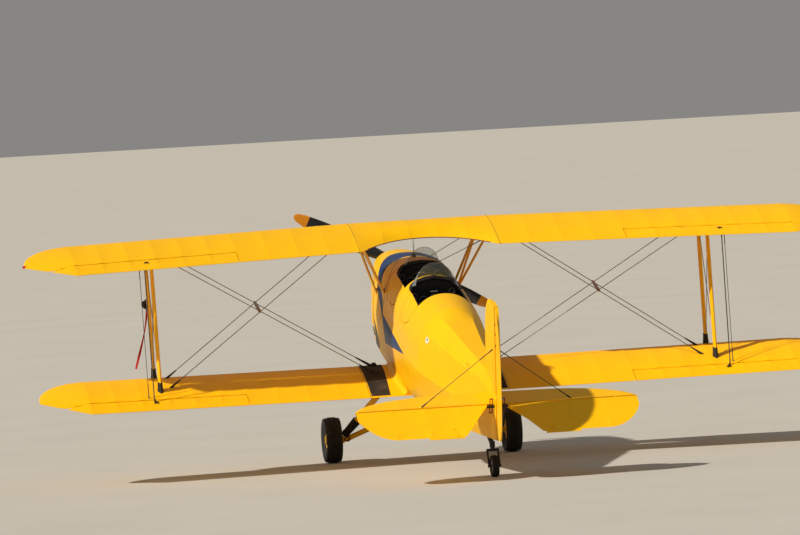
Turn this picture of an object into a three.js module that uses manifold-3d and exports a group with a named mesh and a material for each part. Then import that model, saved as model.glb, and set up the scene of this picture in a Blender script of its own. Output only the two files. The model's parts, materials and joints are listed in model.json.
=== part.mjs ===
// Two-seat training biplane, parked on its main wheels and tailwheel.
// Millimetres, +Z up, nose towards -Y, left wing towards +X.
// Pieces are drawn level, as in flight: y runs aft from the propeller, z up from the thrust line.
// The whole aircraft is then tipped tail down on the ground, and centred under its own box.
import * as THREE from 'three';
import { mergeVertices } from 'three/addons/utils/BufferGeometryUtils.js';
import Module from 'manifold-3d';

const wasm = await Module();
wasm.setup();

// Driving dimensions
const groundAngle = 12.3;
const gap = 0.3;
const clearance = 6;

const section = { thickness: 0.115, camber: 0.025, camberAt: 0.4, tailEdge: 3, points: 11 };
const panel = { chord: 950, sweep: 11, rakeLength: 430, rakeDepth: 409, noseRound: 400, noseDepth: 480 };
const aileron = { chord: 200, inner: 1132, noseRadius: 19, outerNoseRadius: 11 };
const hingePin = { radius: 6, gap: 0.5, depth: 22 };
const upperWing = { rootX: 640, leY: 1320, leZ: 676, incidence: 0.8, dihedral: 1.45, length: 3060 };
const lowerWing = { rootX: 633, leY: 1700, leZ: -570, incidence: 1.9, dihedral: 3.2, length: 3012 };
const cutOut = { halfWidth: 620, depth: 400, sparU: 0.42 };

const wall = 22;
const firewallY = 1050;
const noseBowlEndY = 300;
const tubEndY = 3480;
const sternY = 5868;
const deckSplitZ = 130;
const cockpits = [
  { name: 'front', from: 1690, to: 2300, frontHalf: 242, aftHalf: 248, cornerAcross: 130, cornerAlong: 260,
    doorFrom: 1900, doorTo: 2270, seatY: 1880, stickY: 1790, stickTop: -130 },
  { name: 'rear', from: 2420, to: 2990, frontHalf: 228, aftHalf: 236, cornerAcross: 75, cornerAlong: 120,
    doorFrom: 2560, doorTo: 2980, seatY: 2560, stickY: 2470, stickTop: -110 },
];
const doorSillZ = 105;
const doorCorner = { reach: 170, height: 190, step: 16 };
const doorPin = { radius: 4, depth: 3 };

const propeller = { radius: 1045, restAngle: 27.9, hubRadius: 88, hubDepth: 90 };
const wheel = { x: 833, y: 1480, z: -1284, radius: 210, width: 150, axleRadius: 22, axleEnd: 62 };
const tailwheel = { y: 5600, radius: 95, width: 60, trail: 60, swivelHeight: 178, forkX: 47, axleRadius: 9 };
const hinge = { elevatorY: 5817, elevatorZ: 88, rudderY: 5895, noseRadius: 16 };
const rest = { elevatorDroop: 18, rudderLeft: 6 };
const tail = { halfSpan: 1239, elevatorChord: 444, inner: 90, cutX: 334, leY: 5340 };
const strutStation = 2543;

// Finishes
const finish = {
  fabric: { color: 0xf7b90d, roughness: 0.42, metalness: 0 },
  metalPaint: { color: 0xf8bb0c, roughness: 0.35, metalness: 0 },
  black: { color: 0x16171a, roughness: 0.5, metalness: 0 },
  rubber: { color: 0x17181a, roughness: 0.85, metalness: 0 },
  steel: { color: 0x70757a, roughness: 0.4, metalness: 0.9 },
  glass: { color: 0xa9bcc4, roughness: 0.1, metalness: 0, transparent: true, opacity: 0.4 },
  seat: { color: 0x3a3b3d, roughness: 0.7, metalness: 0 },
};

const radians = THREE.MathUtils.degToRad;
const vector = (x, y, z) => new THREE.Vector3(x, y, z);

// The aircraft's pieces, each one mesh
const aircraft = new THREE.Group();

function addPiece(name, geometry, look, pivot = null, axis = null) {
  const mesh = new THREE.Mesh(geometry, new THREE.MeshStandardMaterial(finish[look]));
  mesh.name = name;
  if (pivot) {
    geometry.translate(-pivot.x, -pivot.y, -pivot.z);
    mesh.position.copy(pivot);
    mesh.userData.axis = axis;
  }
  aircraft.add(mesh);
  return mesh;
}

// Solids: one closed mesh to a solid that can be cut, and back
function toSolid(geometry) {
  const bare = geometry.clone();
  bare.deleteAttribute('normal');
  bare.deleteAttribute('uv');
  const merged = mergeVertices(bare, 1e-3);
  return new wasm.Manifold(new wasm.Mesh({
    numProp: 3,
    vertProperties: new Float32Array(merged.attributes.position.array),
    triVerts: new Uint32Array(merged.index.array),
  }));
}

function toGeometry(solid) {
  const mesh = solid.getMesh();
  const geometry = new THREE.BufferGeometry();
  geometry.setAttribute('position', new THREE.BufferAttribute(new Float32Array(mesh.vertProperties), 3));
  geometry.setIndex(new THREE.BufferAttribute(new Uint32Array(mesh.triVerts), 1));
  return geometry;
}

function mirrored(geometry) {
  const copy = geometry.clone();
  copy.scale(-1, 1, 1);
  const index = copy.index.array;
  for (let i = 0; i < index.length; i += 3) {
    [index[i + 1], index[i + 2]] = [index[i + 2], index[i + 1]];
  }
  return copy;
}

const mirroredSolid = (solid) => toSolid(mirrored(toGeometry(solid)));

// A closed skin through rings with equal counts; each end is zipped shut, point i to its opposite.
// The second half of a ring splits its quads the other way, so that a symmetric ring stays symmetric.
function loft(rings) {
  const count = rings[0].length;
  const positions = rings.flat().flatMap((p) => [p.x, p.y, p.z]);
  const index = [];
  for (let r = 0; r + 1 < rings.length; r += 1) {
    for (let i = 0; i < count; i += 1) {
      const a = r * count + i;
      const b = r * count + ((i + 1) % count);
      if (2 * i + 1 < count) {
        index.push(a, b, b + count, a, b + count, a + count);
      } else {
        index.push(a, b, a + count, b, b + count, a + count);
      }
    }
  }
  const last = (rings.length - 1) * count;
  for (let i = 0, j = count - 1; i + 1 < j; i += 1, j -= 1) {
    index.push(i, j, i + 1);
    index.push(last + i, last + i + 1, last + j);
    if (j - 1 > i + 1) {
      index.push(i + 1, j, j - 1);
      index.push(last + i + 1, last + j - 1, last + j);
    }
  }
  const geometry = new THREE.BufferGeometry();
  geometry.setAttribute('position', new THREE.Float32BufferAttribute(positions, 3));
  geometry.setIndex(index);
  if (signedVolume(geometry) < 0) {
    const flipped = geometry.index.array;
    for (let i = 0; i < flipped.length; i += 3) {
      [flipped[i + 1], flipped[i + 2]] = [flipped[i + 2], flipped[i + 1]];
    }
  }
  return geometry;
}

function signedVolume(geometry) {
  const p = geometry.attributes.position;
  const index = geometry.index.array;
  const a = vector(0, 0, 0);
  const b = vector(0, 0, 0);
  const c = vector(0, 0, 0);
  let sum = 0;
  for (let i = 0; i < index.length; i += 3) {
    a.fromBufferAttribute(p, index[i]);
    b.fromBufferAttribute(p, index[i + 1]);
    c.fromBufferAttribute(p, index[i + 2]);
    sum += a.dot(b.cross(c));
  }
  return sum / 6;
}

// A box by its two corners, a bar between two points, and a flat shape pushed along X or Z
function boxSolid(x0, x1, y0, y1, z0, z1) {
  const box = new THREE.BoxGeometry(x1 - x0, y1 - y0, z1 - z0);
  box.translate((x0 + x1) / 2, (y0 + y1) / 2, (z0 + z1) / 2);
  return toSolid(box);
}

function barGeometry(from, to, radius, sides = 10, endRadius = radius) {
  const along = to.clone().sub(from);
  const bar = new THREE.CylinderGeometry(endRadius, radius, along.length(), sides);
  bar.translate(0, along.length() / 2, 0);
  bar.applyQuaternion(new THREE.Quaternion().setFromUnitVectors(vector(0, 1, 0), along.normalize()));
  bar.translate(from.x, from.y, from.z);
  return bar;
}

const barSolid = (...args) => toSolid(barGeometry(...args));

// A streamlined strut: rounded nose forward, sharp tail aft, level sections at both ends
function strutSolid(from, to, width, thickness) {
  const outline = [[-0.5, 0], [-0.42, 0.3], [-0.25, 0.46], [0, 0.5], [0.25, 0.34], [0.5, 0.05]];
  const ringAt = (centre) => {
    const left = outline.map(([a, b]) => vector(centre.x + b * thickness, centre.y + a * width, centre.z));
    const right = outline.slice(1).reverse();
    return left.concat(right.map(([a, b]) => vector(centre.x - b * thickness, centre.y + a * width, centre.z)));
  };
  const ringUp = ringAt(from);
  const ringDown = ringAt(to);
  const order = (ring) => ring.slice(1).concat(ring.slice(0, 1));
  return toSolid(loft([order(ringUp), order(ringDown)]));
}

// A shape drawn in the y-z plane, pushed from x = -half to +half
function sideShapeSolid(shape, half) {
  const body = new THREE.ExtrudeGeometry(shape, { depth: 2 * half, bevelEnabled: false, curveSegments: 8 });
  body.translate(0, 0, -half);
  body.rotateY(Math.PI / 2);
  body.rotateX(Math.PI / 2);
  return toSolid(body);
}

// A shape drawn in the x-y plane, pushed from z0 to z1
function planShapeSolid(shape, z0, z1, segments = 8) {
  const body = new THREE.ExtrudeGeometry(shape, { depth: z1 - z0, bevelEnabled: false, curveSegments: segments });
  body.translate(0, 0, z0);
  return toSolid(body);
}

// Wing section: a cambered aerofoil, u from nose to tail
function sectionHeights(u) {
  const { thickness: t, camber: m, camberAt: p } = section;
  const half = 5 * t * (0.2969 * Math.sqrt(u) - 0.126 * u - 0.3516 * u ** 2 + 0.2843 * u ** 3 - 0.1036 * u ** 4);
  const mean = u < p
    ? (m / p ** 2) * (2 * p * u - u * u)
    : (m / (1 - p) ** 2) * (1 - 2 * p + 2 * p * u - u * u);
  return { half, mean };
}

// How far the tip's rounded nose and raked tail eat into the chord, at a distance out from the root rib
function tipCuts(wing, out) {
  const rake = Math.max(0, out - (wing.length - panel.rakeLength));
  const nose = Math.max(0, out - (wing.length - panel.noseRound));
  const round = 1 - Math.sqrt(Math.max(0, 1 - (nose / panel.noseRound) ** 2));
  return { le: panel.noseDepth * round, te: (panel.rakeDepth * rake) / panel.rakeLength };
}

// A point of a wing: out from the root rib, at chord fraction u, height off the chord line
function wingPoint(wing, out, u, height = 0) {
  const cuts = tipCuts(wing, Math.max(0, out));
  const chord = panel.chord - cuts.le - cuts.te;
  const aft = cuts.le + u * chord;
  const tilt = radians(wing.incidence);
  const swept = Math.max(0, out) * Math.tan(radians(panel.sweep));
  const raised = Math.max(0, out) * Math.tan(radians(wing.dihedral));
  return vector(
    wing.rootX + out,
    wing.leY + swept + aft * Math.cos(tilt) + height * Math.sin(tilt),
    wing.leZ + raised - aft * Math.sin(tilt) + height * Math.cos(tilt),
  );
}

function wingRing(wing, out) {
  const cuts = tipCuts(wing, Math.max(0, out));
  const chord = panel.chord - cuts.le - cuts.te;
  const top = [];
  const bottom = [];
  for (let i = 0; i <= section.points; i += 1) {
    const u = (1 - Math.cos((Math.PI * i) / section.points)) / 2;
    const { half, mean } = sectionHeights(u);
    const edge = Math.max(half * chord, (section.tailEdge / 2) * Math.min(1, i));
    top.push(wingPoint(wing, out, u, mean * chord + edge));
    bottom.push(wingPoint(wing, out, u, mean * chord - edge));
  }
  return top.reverse().concat(bottom.slice(1));
}

// A wing panel through its rings, from the root rib outward
function wingSolid(wing, outs) {
  return toSolid(loft(outs.map((out) => wingRing(wing, out))));
}

const tipOuts = (wing) => [0, wing.length - panel.rakeLength, ...[300, 200, 120, 65, 28, 8, 1]
  .map((inward) => wing.length - inward)];

// The aileron's hinge line, 0 at the root rib
function hingePoint(wing, out) {
  const u = 1 - aileron.chord / panel.chord;
  const swept = out * Math.tan(radians(panel.sweep));
  const raised = out * Math.tan(radians(wing.dihedral));
  const tilt = radians(wing.incidence);
  const aft = u * panel.chord;
  const mean = sectionHeights(u).mean * panel.chord * 0.75;
  return vector(
    wing.rootX + out,
    wing.leY + swept + aft * Math.cos(tilt),
    wing.leZ + raised - aft * Math.sin(tilt) + mean,
  );
}

// The region aft of the aileron's hinge line, moved forward by a margin, from its inner end outward
function aileronRegion(wing, forward, inward) {
  const inner = hingePoint(wing, aileron.inner - inward);
  const outer = hingePoint(wing, wing.length + 40);
  const depth = aileron.chord + 120;
  const shape = new THREE.Shape([
    new THREE.Vector2(inner.x, inner.y - forward),
    new THREE.Vector2(outer.x, outer.y - forward),
    new THREE.Vector2(outer.x, outer.y + depth),
    new THREE.Vector2(inner.x, inner.y + depth),
  ]);
  return planShapeSolid(shape, inner.z - 300, inner.z + 600);
}

// The eye of an aileron's link, and the aileron's lug that stands beside it, both across the hinge line
const link = { out: 1990, rodRadius: 5, eyeRadius: 8, eyeHalf: 5.5, lugThick: 6,
  upper: { aft: 49, rise: -33 }, lower: { aft: 27, rise: 37 } };
function linkEye(wing, level, axis) {
  const foot = hingePoint(wing, link.out).add(vector(0, link[level].aft, 0));
  const centre = foot.clone().add(vector(0, 0, link[level].rise));
  const along = (point, step) => point.clone().addScaledVector(axis, step);
  const sideGap = level === 'lower' ? gap : 4 * gap;
  const near = -(link.eyeHalf + sideGap);
  const far = near - link.lugThick;
  const middle = (near + far) / 2;
  const lug = barSolid(along(centre, far), along(centre, near), link.eyeRadius, 12)
    .add(barSolid(along(centre, middle), along(foot, middle), link.lugThick / 2, 8));
  const solid = barSolid(along(centre, -link.eyeHalf), along(centre, link.eyeHalf), link.eyeRadius, 12);
  return { centre, lug, solid };
}

const wingParts = {};
for (const [level, wing] of [['upper', upperWing], ['lower', lowerWing]]) {
  const whole = wingSolid(wing, tipOuts(wing));
  const pin = barSolid(hingePoint(wing, aileron.inner - clearance - hingePin.depth),
    hingePoint(wing, aileron.inner + hingePin.depth), hingePin.radius, 12)
    .intersect(boxSolid(0, wing.rootX + aileron.inner - hingePin.gap, 0, 5000, -1500, 1500));
  const fixed = whole.subtract(aileronRegion(wing, aileron.noseRadius + clearance, clearance)).add(pin);
  const flap = whole.intersect(aileronRegion(wing, 0, 0));
  const innerEnd = hingePoint(wing, aileron.inner);
  const outerEnd = hingePoint(wing, wing.length - panel.rakeLength + aileron.chord);
  const beyond = innerEnd.clone().lerp(outerEnd, -0.02);
  const nose = barSolid(beyond, outerEnd, aileron.noseRadius, 12, aileron.outerNoseRadius)
    .intersect(boxSolid(innerEnd.x, 5000, 0, 5000, -1500, 1500));
  const axis = outerEnd.clone().sub(innerEnd).normalize();
  const eye = linkEye(wing, level, axis);
  wingParts[level] = { fixed, aileron: flap.add(nose).add(eye.lug), axis, linkEye: eye.solid, linkEnd: eye.centre };
  const left = toGeometry(fixed);
  addPiece(`${level}_wing_left`, left, 'fabric');
  addPiece(`${level}_wing_right`, mirrored(left), 'fabric');
  const flapGeometry = toGeometry(wingParts[level].aileron);
  const right = mirrored(flapGeometry);
  addPiece(`${level}_aileron_left`, flapGeometry, 'fabric', innerEnd, axis);
  addPiece(`${level}_aileron_right`, right, 'fabric', vector(-innerEnd.x, innerEnd.y, innerEnd.z),
    vector(-axis.x, axis.y, axis.z));
}

// Upper centre section, its trailing edge cut back over the cockpits in an arch.
// Behind the spar each section is squeezed, so that its sharp trailing edge follows the arch.
function centreRing(x) {
  const rib = wingRing(upperWing, -gap);
  const spread = Math.min(1, Math.abs(x) / cutOut.halfWidth);
  const cut = cutOut.depth * (1 - spread ** 2.2);
  const spar = cutOut.sparU * panel.chord;
  const squeeze = (panel.chord - spar - cut) / (panel.chord - spar);
  return rib.map((p) => {
    const aft = p.y - upperWing.leY - spar;
    if (aft <= 0) {
      return vector(x, p.y, p.z);
    }
    return vector(x, upperWing.leY + spar + aft * squeeze, p.z);
  });
}
const centreSteps = [1, 0.9, 0.75, 0.55, 0.3, 0];
const centreHalf = [upperWing.rootX - gap, ...centreSteps.map((k) => k * cutOut.halfWidth)];
const centreXs = centreHalf.concat(centreHalf.slice(0, -1).reverse().map((x) => -x));
const centreSection = toSolid(loft(centreXs.map(centreRing)));
addPiece('upper_centre_section', toGeometry(centreSection), 'fabric');

// Fuselage sections, half of each from the bottom up. All in millimetres, power sets how square the deck is.
// y, top, shoulder z, shoulder width, side z, side width, low z, low width, bottom z, bottom width, power
const stations = [
  [100, 108, 15, 142, -120, 160, -320, 150, -425, 85, 2],
  [200, 160, 30, 198, -120, 218, -390, 205, -510, 125, 2],
  [420, 208, 50, 252, -130, 274, -460, 262, -590, 165, 2.1],
  [1050, 312, 85, 336, -160, 358, -500, 335, -640, 215, 2.4],
  [1700, 392, 15, 342, -178, 377, -517, 344, -662, 237, 2.3],
  [2450, 420, -40, 354, -173, 376, -507, 329, -648, 230, 2.2],
  [3000, 412, -60, 356, -164, 366, -481, 309, -618, 215, 2.15],
  [3480, 402, -50, 322, -150, 344, -440, 282, -570, 195, 2.1],
  [4500, 372, 10, 206, -100, 222, -310, 182, -425, 118, 2],
  [5350, 345, 60, 88, -60, 96, -200, 84, -290, 54, 2.1],
  [5868, 215, 60, 20, -50, 22, -150, 22, -205, 18, 2],
].map(([y, top, shoulder, width, sideZ, sideWidth, lowZ, lowWidth, bottom, bottomWidth, power]) => (
  { y, top, shoulder, width, sideZ, sideWidth, lowZ, lowWidth, bottom, bottomWidth, power }));

function stationAt(y) {
  const next = Math.max(1, stations.findIndex((s) => s.y >= y));
  const a = stations[next - 1];
  const b = stations[next];
  const t = (y - a.y) / (b.y - a.y);
  return Object.fromEntries(Object.keys(a).map((key) => [key, a[key] + t * (b[key] - a[key])]));
}

// The ring of one station, drawn inward by a wall's thickness
function fuselageRing(station, inset = 0) {
  const half = [
    [station.bottomWidth - inset * 0.5, station.bottom + inset],
    [station.lowWidth - inset, station.lowZ + inset * 0.3],
    [station.sideWidth - inset, station.sideZ],
  ];
  const steps = 7;
  const power = 2 / station.power;
  for (let i = 0; i < steps; i += 1) {
    const angle = (Math.PI / 2) * (i / steps);
    half.push([
      (station.width - inset) * Math.cos(angle) ** power,
      station.shoulder + (station.top - inset - station.shoulder) * Math.sin(angle) ** power,
    ]);
  }
  const right = half.map(([x, z]) => vector(x, station.y, z));
  const left = half.map(([x, z]) => vector(-x, station.y, z)).reverse();
  return right.concat([vector(0, station.y, station.top - inset)], left);
}

function hull(from, to, inset = 0) {
  const inside = stations.filter((s) => s.y > from + 1 && s.y < to - 1);
  const rings = [stationAt(from), ...inside, stationAt(to)].map((s) => fuselageRing(s, inset));
  return toSolid(loft(rings));
}

const outerHull = hull(stations[0].y, sternY);

// Engine cowling: a nose bowl with an air intake, and the main cowl with its cooling outlet low on the left
const intake = new THREE.Shape().absellipse(0, 0, 52, 100, 0, Math.PI * 2);
const intakeSolid = (() => {
  const body = new THREE.ExtrudeGeometry(intake, { depth: 200, bevelEnabled: false, curveSegments: 12 });
  body.rotateX(Math.PI / 2);
  body.translate(62, 250, -235);
  return toSolid(body);
})();
const shaftHole = barSolid(vector(0, 0, 0), vector(0, 200, 0), 62, 20);
const noseBowl = hull(stations[0].y, noseBowlEndY - gap)
  .subtract(hull(stations[0].y + 14, noseBowlEndY + 20, 14))
  .subtract(intakeSolid)
  .subtract(shaftHole);
addPiece('cowl_nose', toGeometry(noseBowl), 'metalPaint');
const outlet = boxSolid(180, 420, 770, 960, -640, -400);
const cowlWall = 14;
const cowl = hull(noseBowlEndY, firewallY - gap)
  .subtract(hull(noseBowlEndY - 20, firewallY + 20, cowlWall))
  .subtract(outlet);
addPiece('cowl_main', toGeometry(cowl), 'metalPaint');

// Engine: one plain block carried on the firewall, with its crankshaft flange behind the propeller
const engine = boxSolid(-115, 115, 330, firewallY - gap, -500, 90)
  .add(barSolid(vector(0, propeller.hubDepth / 2 + gap + 22, 0), vector(0, 335, 0), 34, 16))
  .add(barSolid(vector(0, propeller.hubDepth / 2 + gap, 0), vector(0, propeller.hubDepth / 2 + 23, 0), 56, 20));
addPiece('engine', toGeometry(engine), 'steel');

// Exhaust: a pipe from the engine's right foot out under the cowl
const exhaustInner = vector(-100, 700, -500);
const exhaustElbow = vector(-150, 760, -672);
const exhaustEnd = vector(-165, 960, -735);
const exhaust = barSolid(exhaustInner, exhaustElbow, 30, 12)
  .add(toSolid(new THREE.SphereGeometry(30, 12, 8).translate(exhaustElbow.x, exhaustElbow.y, exhaustElbow.z)))
  .add(barSolid(exhaustElbow, exhaustEnd, 30, 12))
  .subtract(boxSolid(-115 - gap, 115 + gap, 330, firewallY, -500 - gap, 90));
const exhaustHole = barSolid(exhaustInner, exhaustElbow, 36, 16);
const cowlMesh = aircraft.getObjectByName('cowl_main');
cowlMesh.geometry = toGeometry(cowl.subtract(exhaustHole));
addPiece('exhaust_pipe', toGeometry(exhaust), 'black');

// Cockpit part of the fuselage: one tub with firewall, floor and rear bulkhead
const innerHull = hull(firewallY + 20, tubEndY - 20, wall);
const shell = hull(firewallY, tubEndY).subtract(innerHull);

// Rounded at the front, with sharp corners at the end of each side and a straight aft edge
function openingShape({ from, to, frontHalf, aftHalf, cornerAcross, cornerAlong }) {
  const shape = new THREE.Shape();
  shape.moveTo(-frontHalf + cornerAcross, from);
  shape.lineTo(frontHalf - cornerAcross, from);
  shape.quadraticCurveTo(frontHalf, from, frontHalf, from + cornerAlong);
  shape.lineTo(aftHalf, to);
  shape.lineTo(-aftHalf, to);
  shape.lineTo(-frontHalf, from + cornerAlong);
  shape.quadraticCurveTo(-frontHalf, from, -frontHalf + cornerAcross, from);
  return shape;
}

let tub = shell;
for (const cockpit of cockpits) {
  tub = tub.subtract(planShapeSolid(openingShape(cockpit), 180, 700, 5));
}
const openShell = tub;
const decks = [
  { name: 'deck_front', from: firewallY, to: cockpits[0].from + 60, panelY: cockpits[0].from - 18 },
  { name: 'deck_middle', from: cockpits[0].doorTo + 20, to: cockpits[1].from + 60, panelY: cockpits[1].from - 18 },
];
for (const deck of decks) {
  const area = boxSolid(-500, 500, deck.from, deck.to, deckSplitZ, 800);
  const board = (inset, low, high) => hull(firewallY + 20, tubEndY - 20, inset)
    .intersect(boxSolid(-500, 500, deck.panelY, deck.panelY + 16, low, high));
  const upperBoard = board(wall - 4, deckSplitZ, 800);
  const lowerBoard = board(wall + gap, deckSplitZ - 90, deckSplitZ + 1);
  tub = tub.subtract(boxSolid(-500, 500, deck.from - gap, deck.to + gap, deckSplitZ - gap, 800));
  addPiece(deck.name, toGeometry(openShell.intersect(area).add(upperBoard).add(lowerBoard)), 'metalPaint');
}

// Doors: drop-down flaps in the tub's sides, hinged along their sills, their lower aft corners rounded
function doorRegion({ doorFrom, doorTo }, grow) {
  const sillEnd = doorTo - doorCorner.reach + grow;
  const cornerZ = doorSillZ + doorCorner.step - grow;
  const aft = doorTo + grow;
  const shape = new THREE.Shape();
  shape.moveTo(doorFrom - grow, doorSillZ - grow);
  shape.lineTo(sillEnd, doorSillZ - grow);
  shape.lineTo(sillEnd, cornerZ);
  shape.quadraticCurveTo(aft, cornerZ, aft, doorSillZ + doorCorner.height);
  shape.lineTo(aft, 800);
  shape.lineTo(doorFrom - grow, 800);
  return sideShapeSolid(shape, 200).translate([300, 0, 0]);
}

for (const cockpit of cockpits) {
  const door = tub.intersect(doorRegion(cockpit, 0));
  const doorway = doorRegion(cockpit, clearance);
  tub = tub.subtract(doorway).subtract(mirroredSolid(doorway));
  const sillX = (y) => {
    const ring = fuselageRing(stationAt(y));
    const above = ring.findIndex((p) => p.x > 0 && p.z >= doorSillZ);
    const a = ring[above - 1];
    const b = ring[above];
    return a.x + ((doorSillZ - a.z) / (b.z - a.z)) * (b.x - a.x);
  };
  const sillEnd = cockpit.doorTo - doorCorner.reach;
  const hingeFrom = vector(sillX(cockpit.doorFrom), cockpit.doorFrom, doorSillZ);
  const hingeTo = vector(sillX(sillEnd), sillEnd, doorSillZ);
  const axis = hingeTo.clone().sub(hingeFrom).normalize();
  const doorGeometry = toGeometry(door);
  const mirror = mirrored(doorGeometry);
  addPiece(`door_${cockpit.name}_left`, doorGeometry, 'metalPaint', hingeFrom, axis);
  addPiece(`door_${cockpit.name}_right`, mirror, 'metalPaint', vector(-hingeFrom.x, hingeFrom.y, hingeFrom.z),
    vector(-axis.x, axis.y, axis.z));
  const reach = clearance + doorPin.depth;
  const pins = barSolid(hingeFrom.clone().addScaledVector(axis, -reach), hingeTo.clone().addScaledVector(axis, reach),
    doorPin.radius, 10)
    .subtract(boxSolid(0, 500, cockpit.doorFrom - hingePin.gap, sillEnd + hingePin.gap, 0, 300));
  tub = tub.add(pins).add(mirroredSolid(pins));
}
addPiece('fuselage_tub', toGeometry(tub), 'fabric');

// Rear fuselage with the hole that the elevator's torque tube turns in
const torqueTube = { radius: 13, holeRadius: 13.7 };
const rudderFoot = { z: -165, bracketHalf: 9, bracketLow: -196, bracketHigh: -172 };
const rearHull = hull(tubEndY + gap, sternY);
const tubeHole = barSolid(vector(-60, hinge.elevatorY, hinge.elevatorZ), vector(60, hinge.elevatorY, hinge.elevatorZ),
  torqueTube.holeRadius, 16);
const rudderBracket = boxSolid(-rudderFoot.bracketHalf, rudderFoot.bracketHalf, sternY - 25,
  hinge.rudderY + rudderFoot.bracketHalf, rudderFoot.bracketLow, rudderFoot.bracketHigh)
  .add(barSolid(vector(0, hinge.rudderY, rudderFoot.bracketLow), vector(0, hinge.rudderY, rudderFoot.z - gap), 8, 12));
const rearFuselage = rearHull.subtract(tubeHole).add(rudderBracket);
addPiece('fuselage_rear', toGeometry(rearFuselage), 'fabric');

// Seats on a pedestal, and both control sticks on their shaft along the floor
const floorAt = (y) => stationAt(y).bottom + wall;
for (const cockpit of cockpits) {
  const y = cockpit.seatY;
  const profile = new THREE.Shape([[0, -230], [20, -255], [330, -285], [400, 175], [378, 180], [312, -262],
    [40, -232], [0, -205]].map(([a, b]) => new THREE.Vector2(y + a, b)));
  const pan = sideShapeSolid(profile, 205);
  const leg = (x) => boxSolid(x - 15, x + 15, y + 60, y + 280, floorAt(y) - 50, -245);
  const seat = pan.add(leg(-135)).add(leg(135)).intersect(hull(firewallY + 20, tubEndY - 20, wall + gap));
  addPiece(`seat_${cockpit.name}`, toGeometry(seat), 'seat');
}
const stick = { shaftRadius: 16, radius: 12, overhang: 30 };
const shaftPoint = (y) => vector(0, y, floorAt(y) + stick.shaftRadius + gap);
const shaftFrom = shaftPoint(cockpits[0].stickY - stick.overhang);
const shaftTo = shaftPoint(cockpits[1].stickY + stick.overhang);
let sticks = barSolid(shaftFrom, shaftTo, stick.shaftRadius, 10);
for (const { stickY, stickTop } of cockpits) {
  sticks = sticks.add(barSolid(shaftPoint(stickY), vector(0, stickY + 20, stickTop), stick.radius, 10));
}
addPiece('control_sticks', toGeometry(sticks), 'black');

// Windscreens: one bent sheet each, standing on the deck and leaning aft
const windscreens = [
  { name: 'front', y: 1670, halfWidth: 160, bow: 100, height: 180, leanMiddle: 264, leanSide: 60 },
  { name: 'rear', y: 2410, halfWidth: 210, bow: 100, height: 138, leanMiddle: 110, leanSide: 110 },
];
for (const screen of windscreens) {
  const steps = 14;
  const thick = 5;
  const rings = [];
  for (let i = 0; i <= steps; i += 1) {
    const angle = ((i / steps) * 2 - 1) * radians(84);
    const x = screen.halfWidth * Math.sin(angle);
    const y = screen.y - screen.bow * Math.cos(angle) + 0.35 * screen.bow;
    const rise = screen.height * Math.cos(angle) ** 0.7 + 12;
    const base = stationAt(y);
    const spread = Math.abs(x) / base.width;
    const deckZ = base.shoulder + (base.top - base.shoulder) * (1 - spread ** base.power) ** (1 / base.power);
    const outward = vector(Math.sin(angle), -Math.cos(angle), 0).multiplyScalar(thick / 2);
    const foot = vector(x, y, deckZ - 30);
    const lean = screen.leanSide + (screen.leanMiddle - screen.leanSide) * Math.cos(angle) ** 0.7;
    const head = vector(x * 0.88, y + lean, deckZ + rise);
    rings.push([foot.clone().add(outward), head.clone().add(outward), head.clone().sub(outward), foot.clone().sub(outward)]);
  }
  const sheet = toSolid(loft(rings)).subtract(outerHull.translate([0, 0, gap]));
  addPiece(`windscreen_${screen.name}`, toGeometry(sheet), 'glass');
}

// Fuel gauge: a sight tube standing on the front deck
const gaugeY = 1256;
const gauge = barSolid(vector(0, gaugeY, 320), vector(0, gaugeY, 560), 13, 12).subtract(outerHull.translate([0, 0, gap]));
addPiece('fuel_gauge', toGeometry(gauge), 'glass');

// Lower wing roots, from the fuselage side out to the wing panels
const lowerRoot = (() => {
  const inner = wingRing(lowerWing, -(lowerWing.rootX - 200));
  const outer = wingRing(lowerWing, -gap);
  return toSolid(loft([inner, outer])).subtract(outerHull.translate([gap, 0, 0]));
})();
const rootPieces = lowerRoot.decompose().sort((a, b) => b.volume() - a.volume());
const rootGeometry = toGeometry(rootPieces[0]);
addPiece('lower_wing_root_left', rootGeometry, 'metalPaint');
addPiece('lower_wing_root_right', mirrored(rootGeometry), 'metalPaint');

// Struts between the wings: front and rear, crossed by two incidence wires
const liftedLower = wingParts.lower.fixed.translate([0, 0, gap]);
const droppedUpper = wingParts.upper.fixed.translate([0, 0, -gap]);
const strutOut = { upper: strutStation - upperWing.rootX, lower: strutStation - upperWing.rootX };
const strutU = { front: 0.115, rear: 0.6 };
const strutEnds = {};
for (const place of ['front', 'rear']) {
  strutEnds[place] = {
    top: wingPoint(upperWing, strutOut.upper, strutU[place], 20),
    foot: wingPoint(lowerWing, strutOut.lower, strutU[place], 25),
  };
}
const wireRadius = 4;
const nearStrut = (place, end, t) => strutEnds[place].top.clone().lerp(strutEnds[place].foot, end === 'top' ? t : 1 - t);
const interplane = strutSolid(strutEnds.front.top, strutEnds.front.foot, 78, 34)
  .add(strutSolid(strutEnds.rear.top, strutEnds.rear.foot, 78, 34))
  .add(barSolid(nearStrut('front', 'top', 0.05), nearStrut('rear', 'foot', 0.05), wireRadius, 6))
  .add(barSolid(nearStrut('rear', 'top', 0.05), nearStrut('front', 'foot', 0.05), wireRadius, 6))
  .subtract(liftedLower)
  .subtract(droppedUpper);
const interplaneGeometry = toGeometry(interplane);
addPiece('interplane_struts_left', interplaneGeometry, 'metalPaint');
addPiece('interplane_struts_right', mirrored(interplaneGeometry), 'metalPaint');

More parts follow.
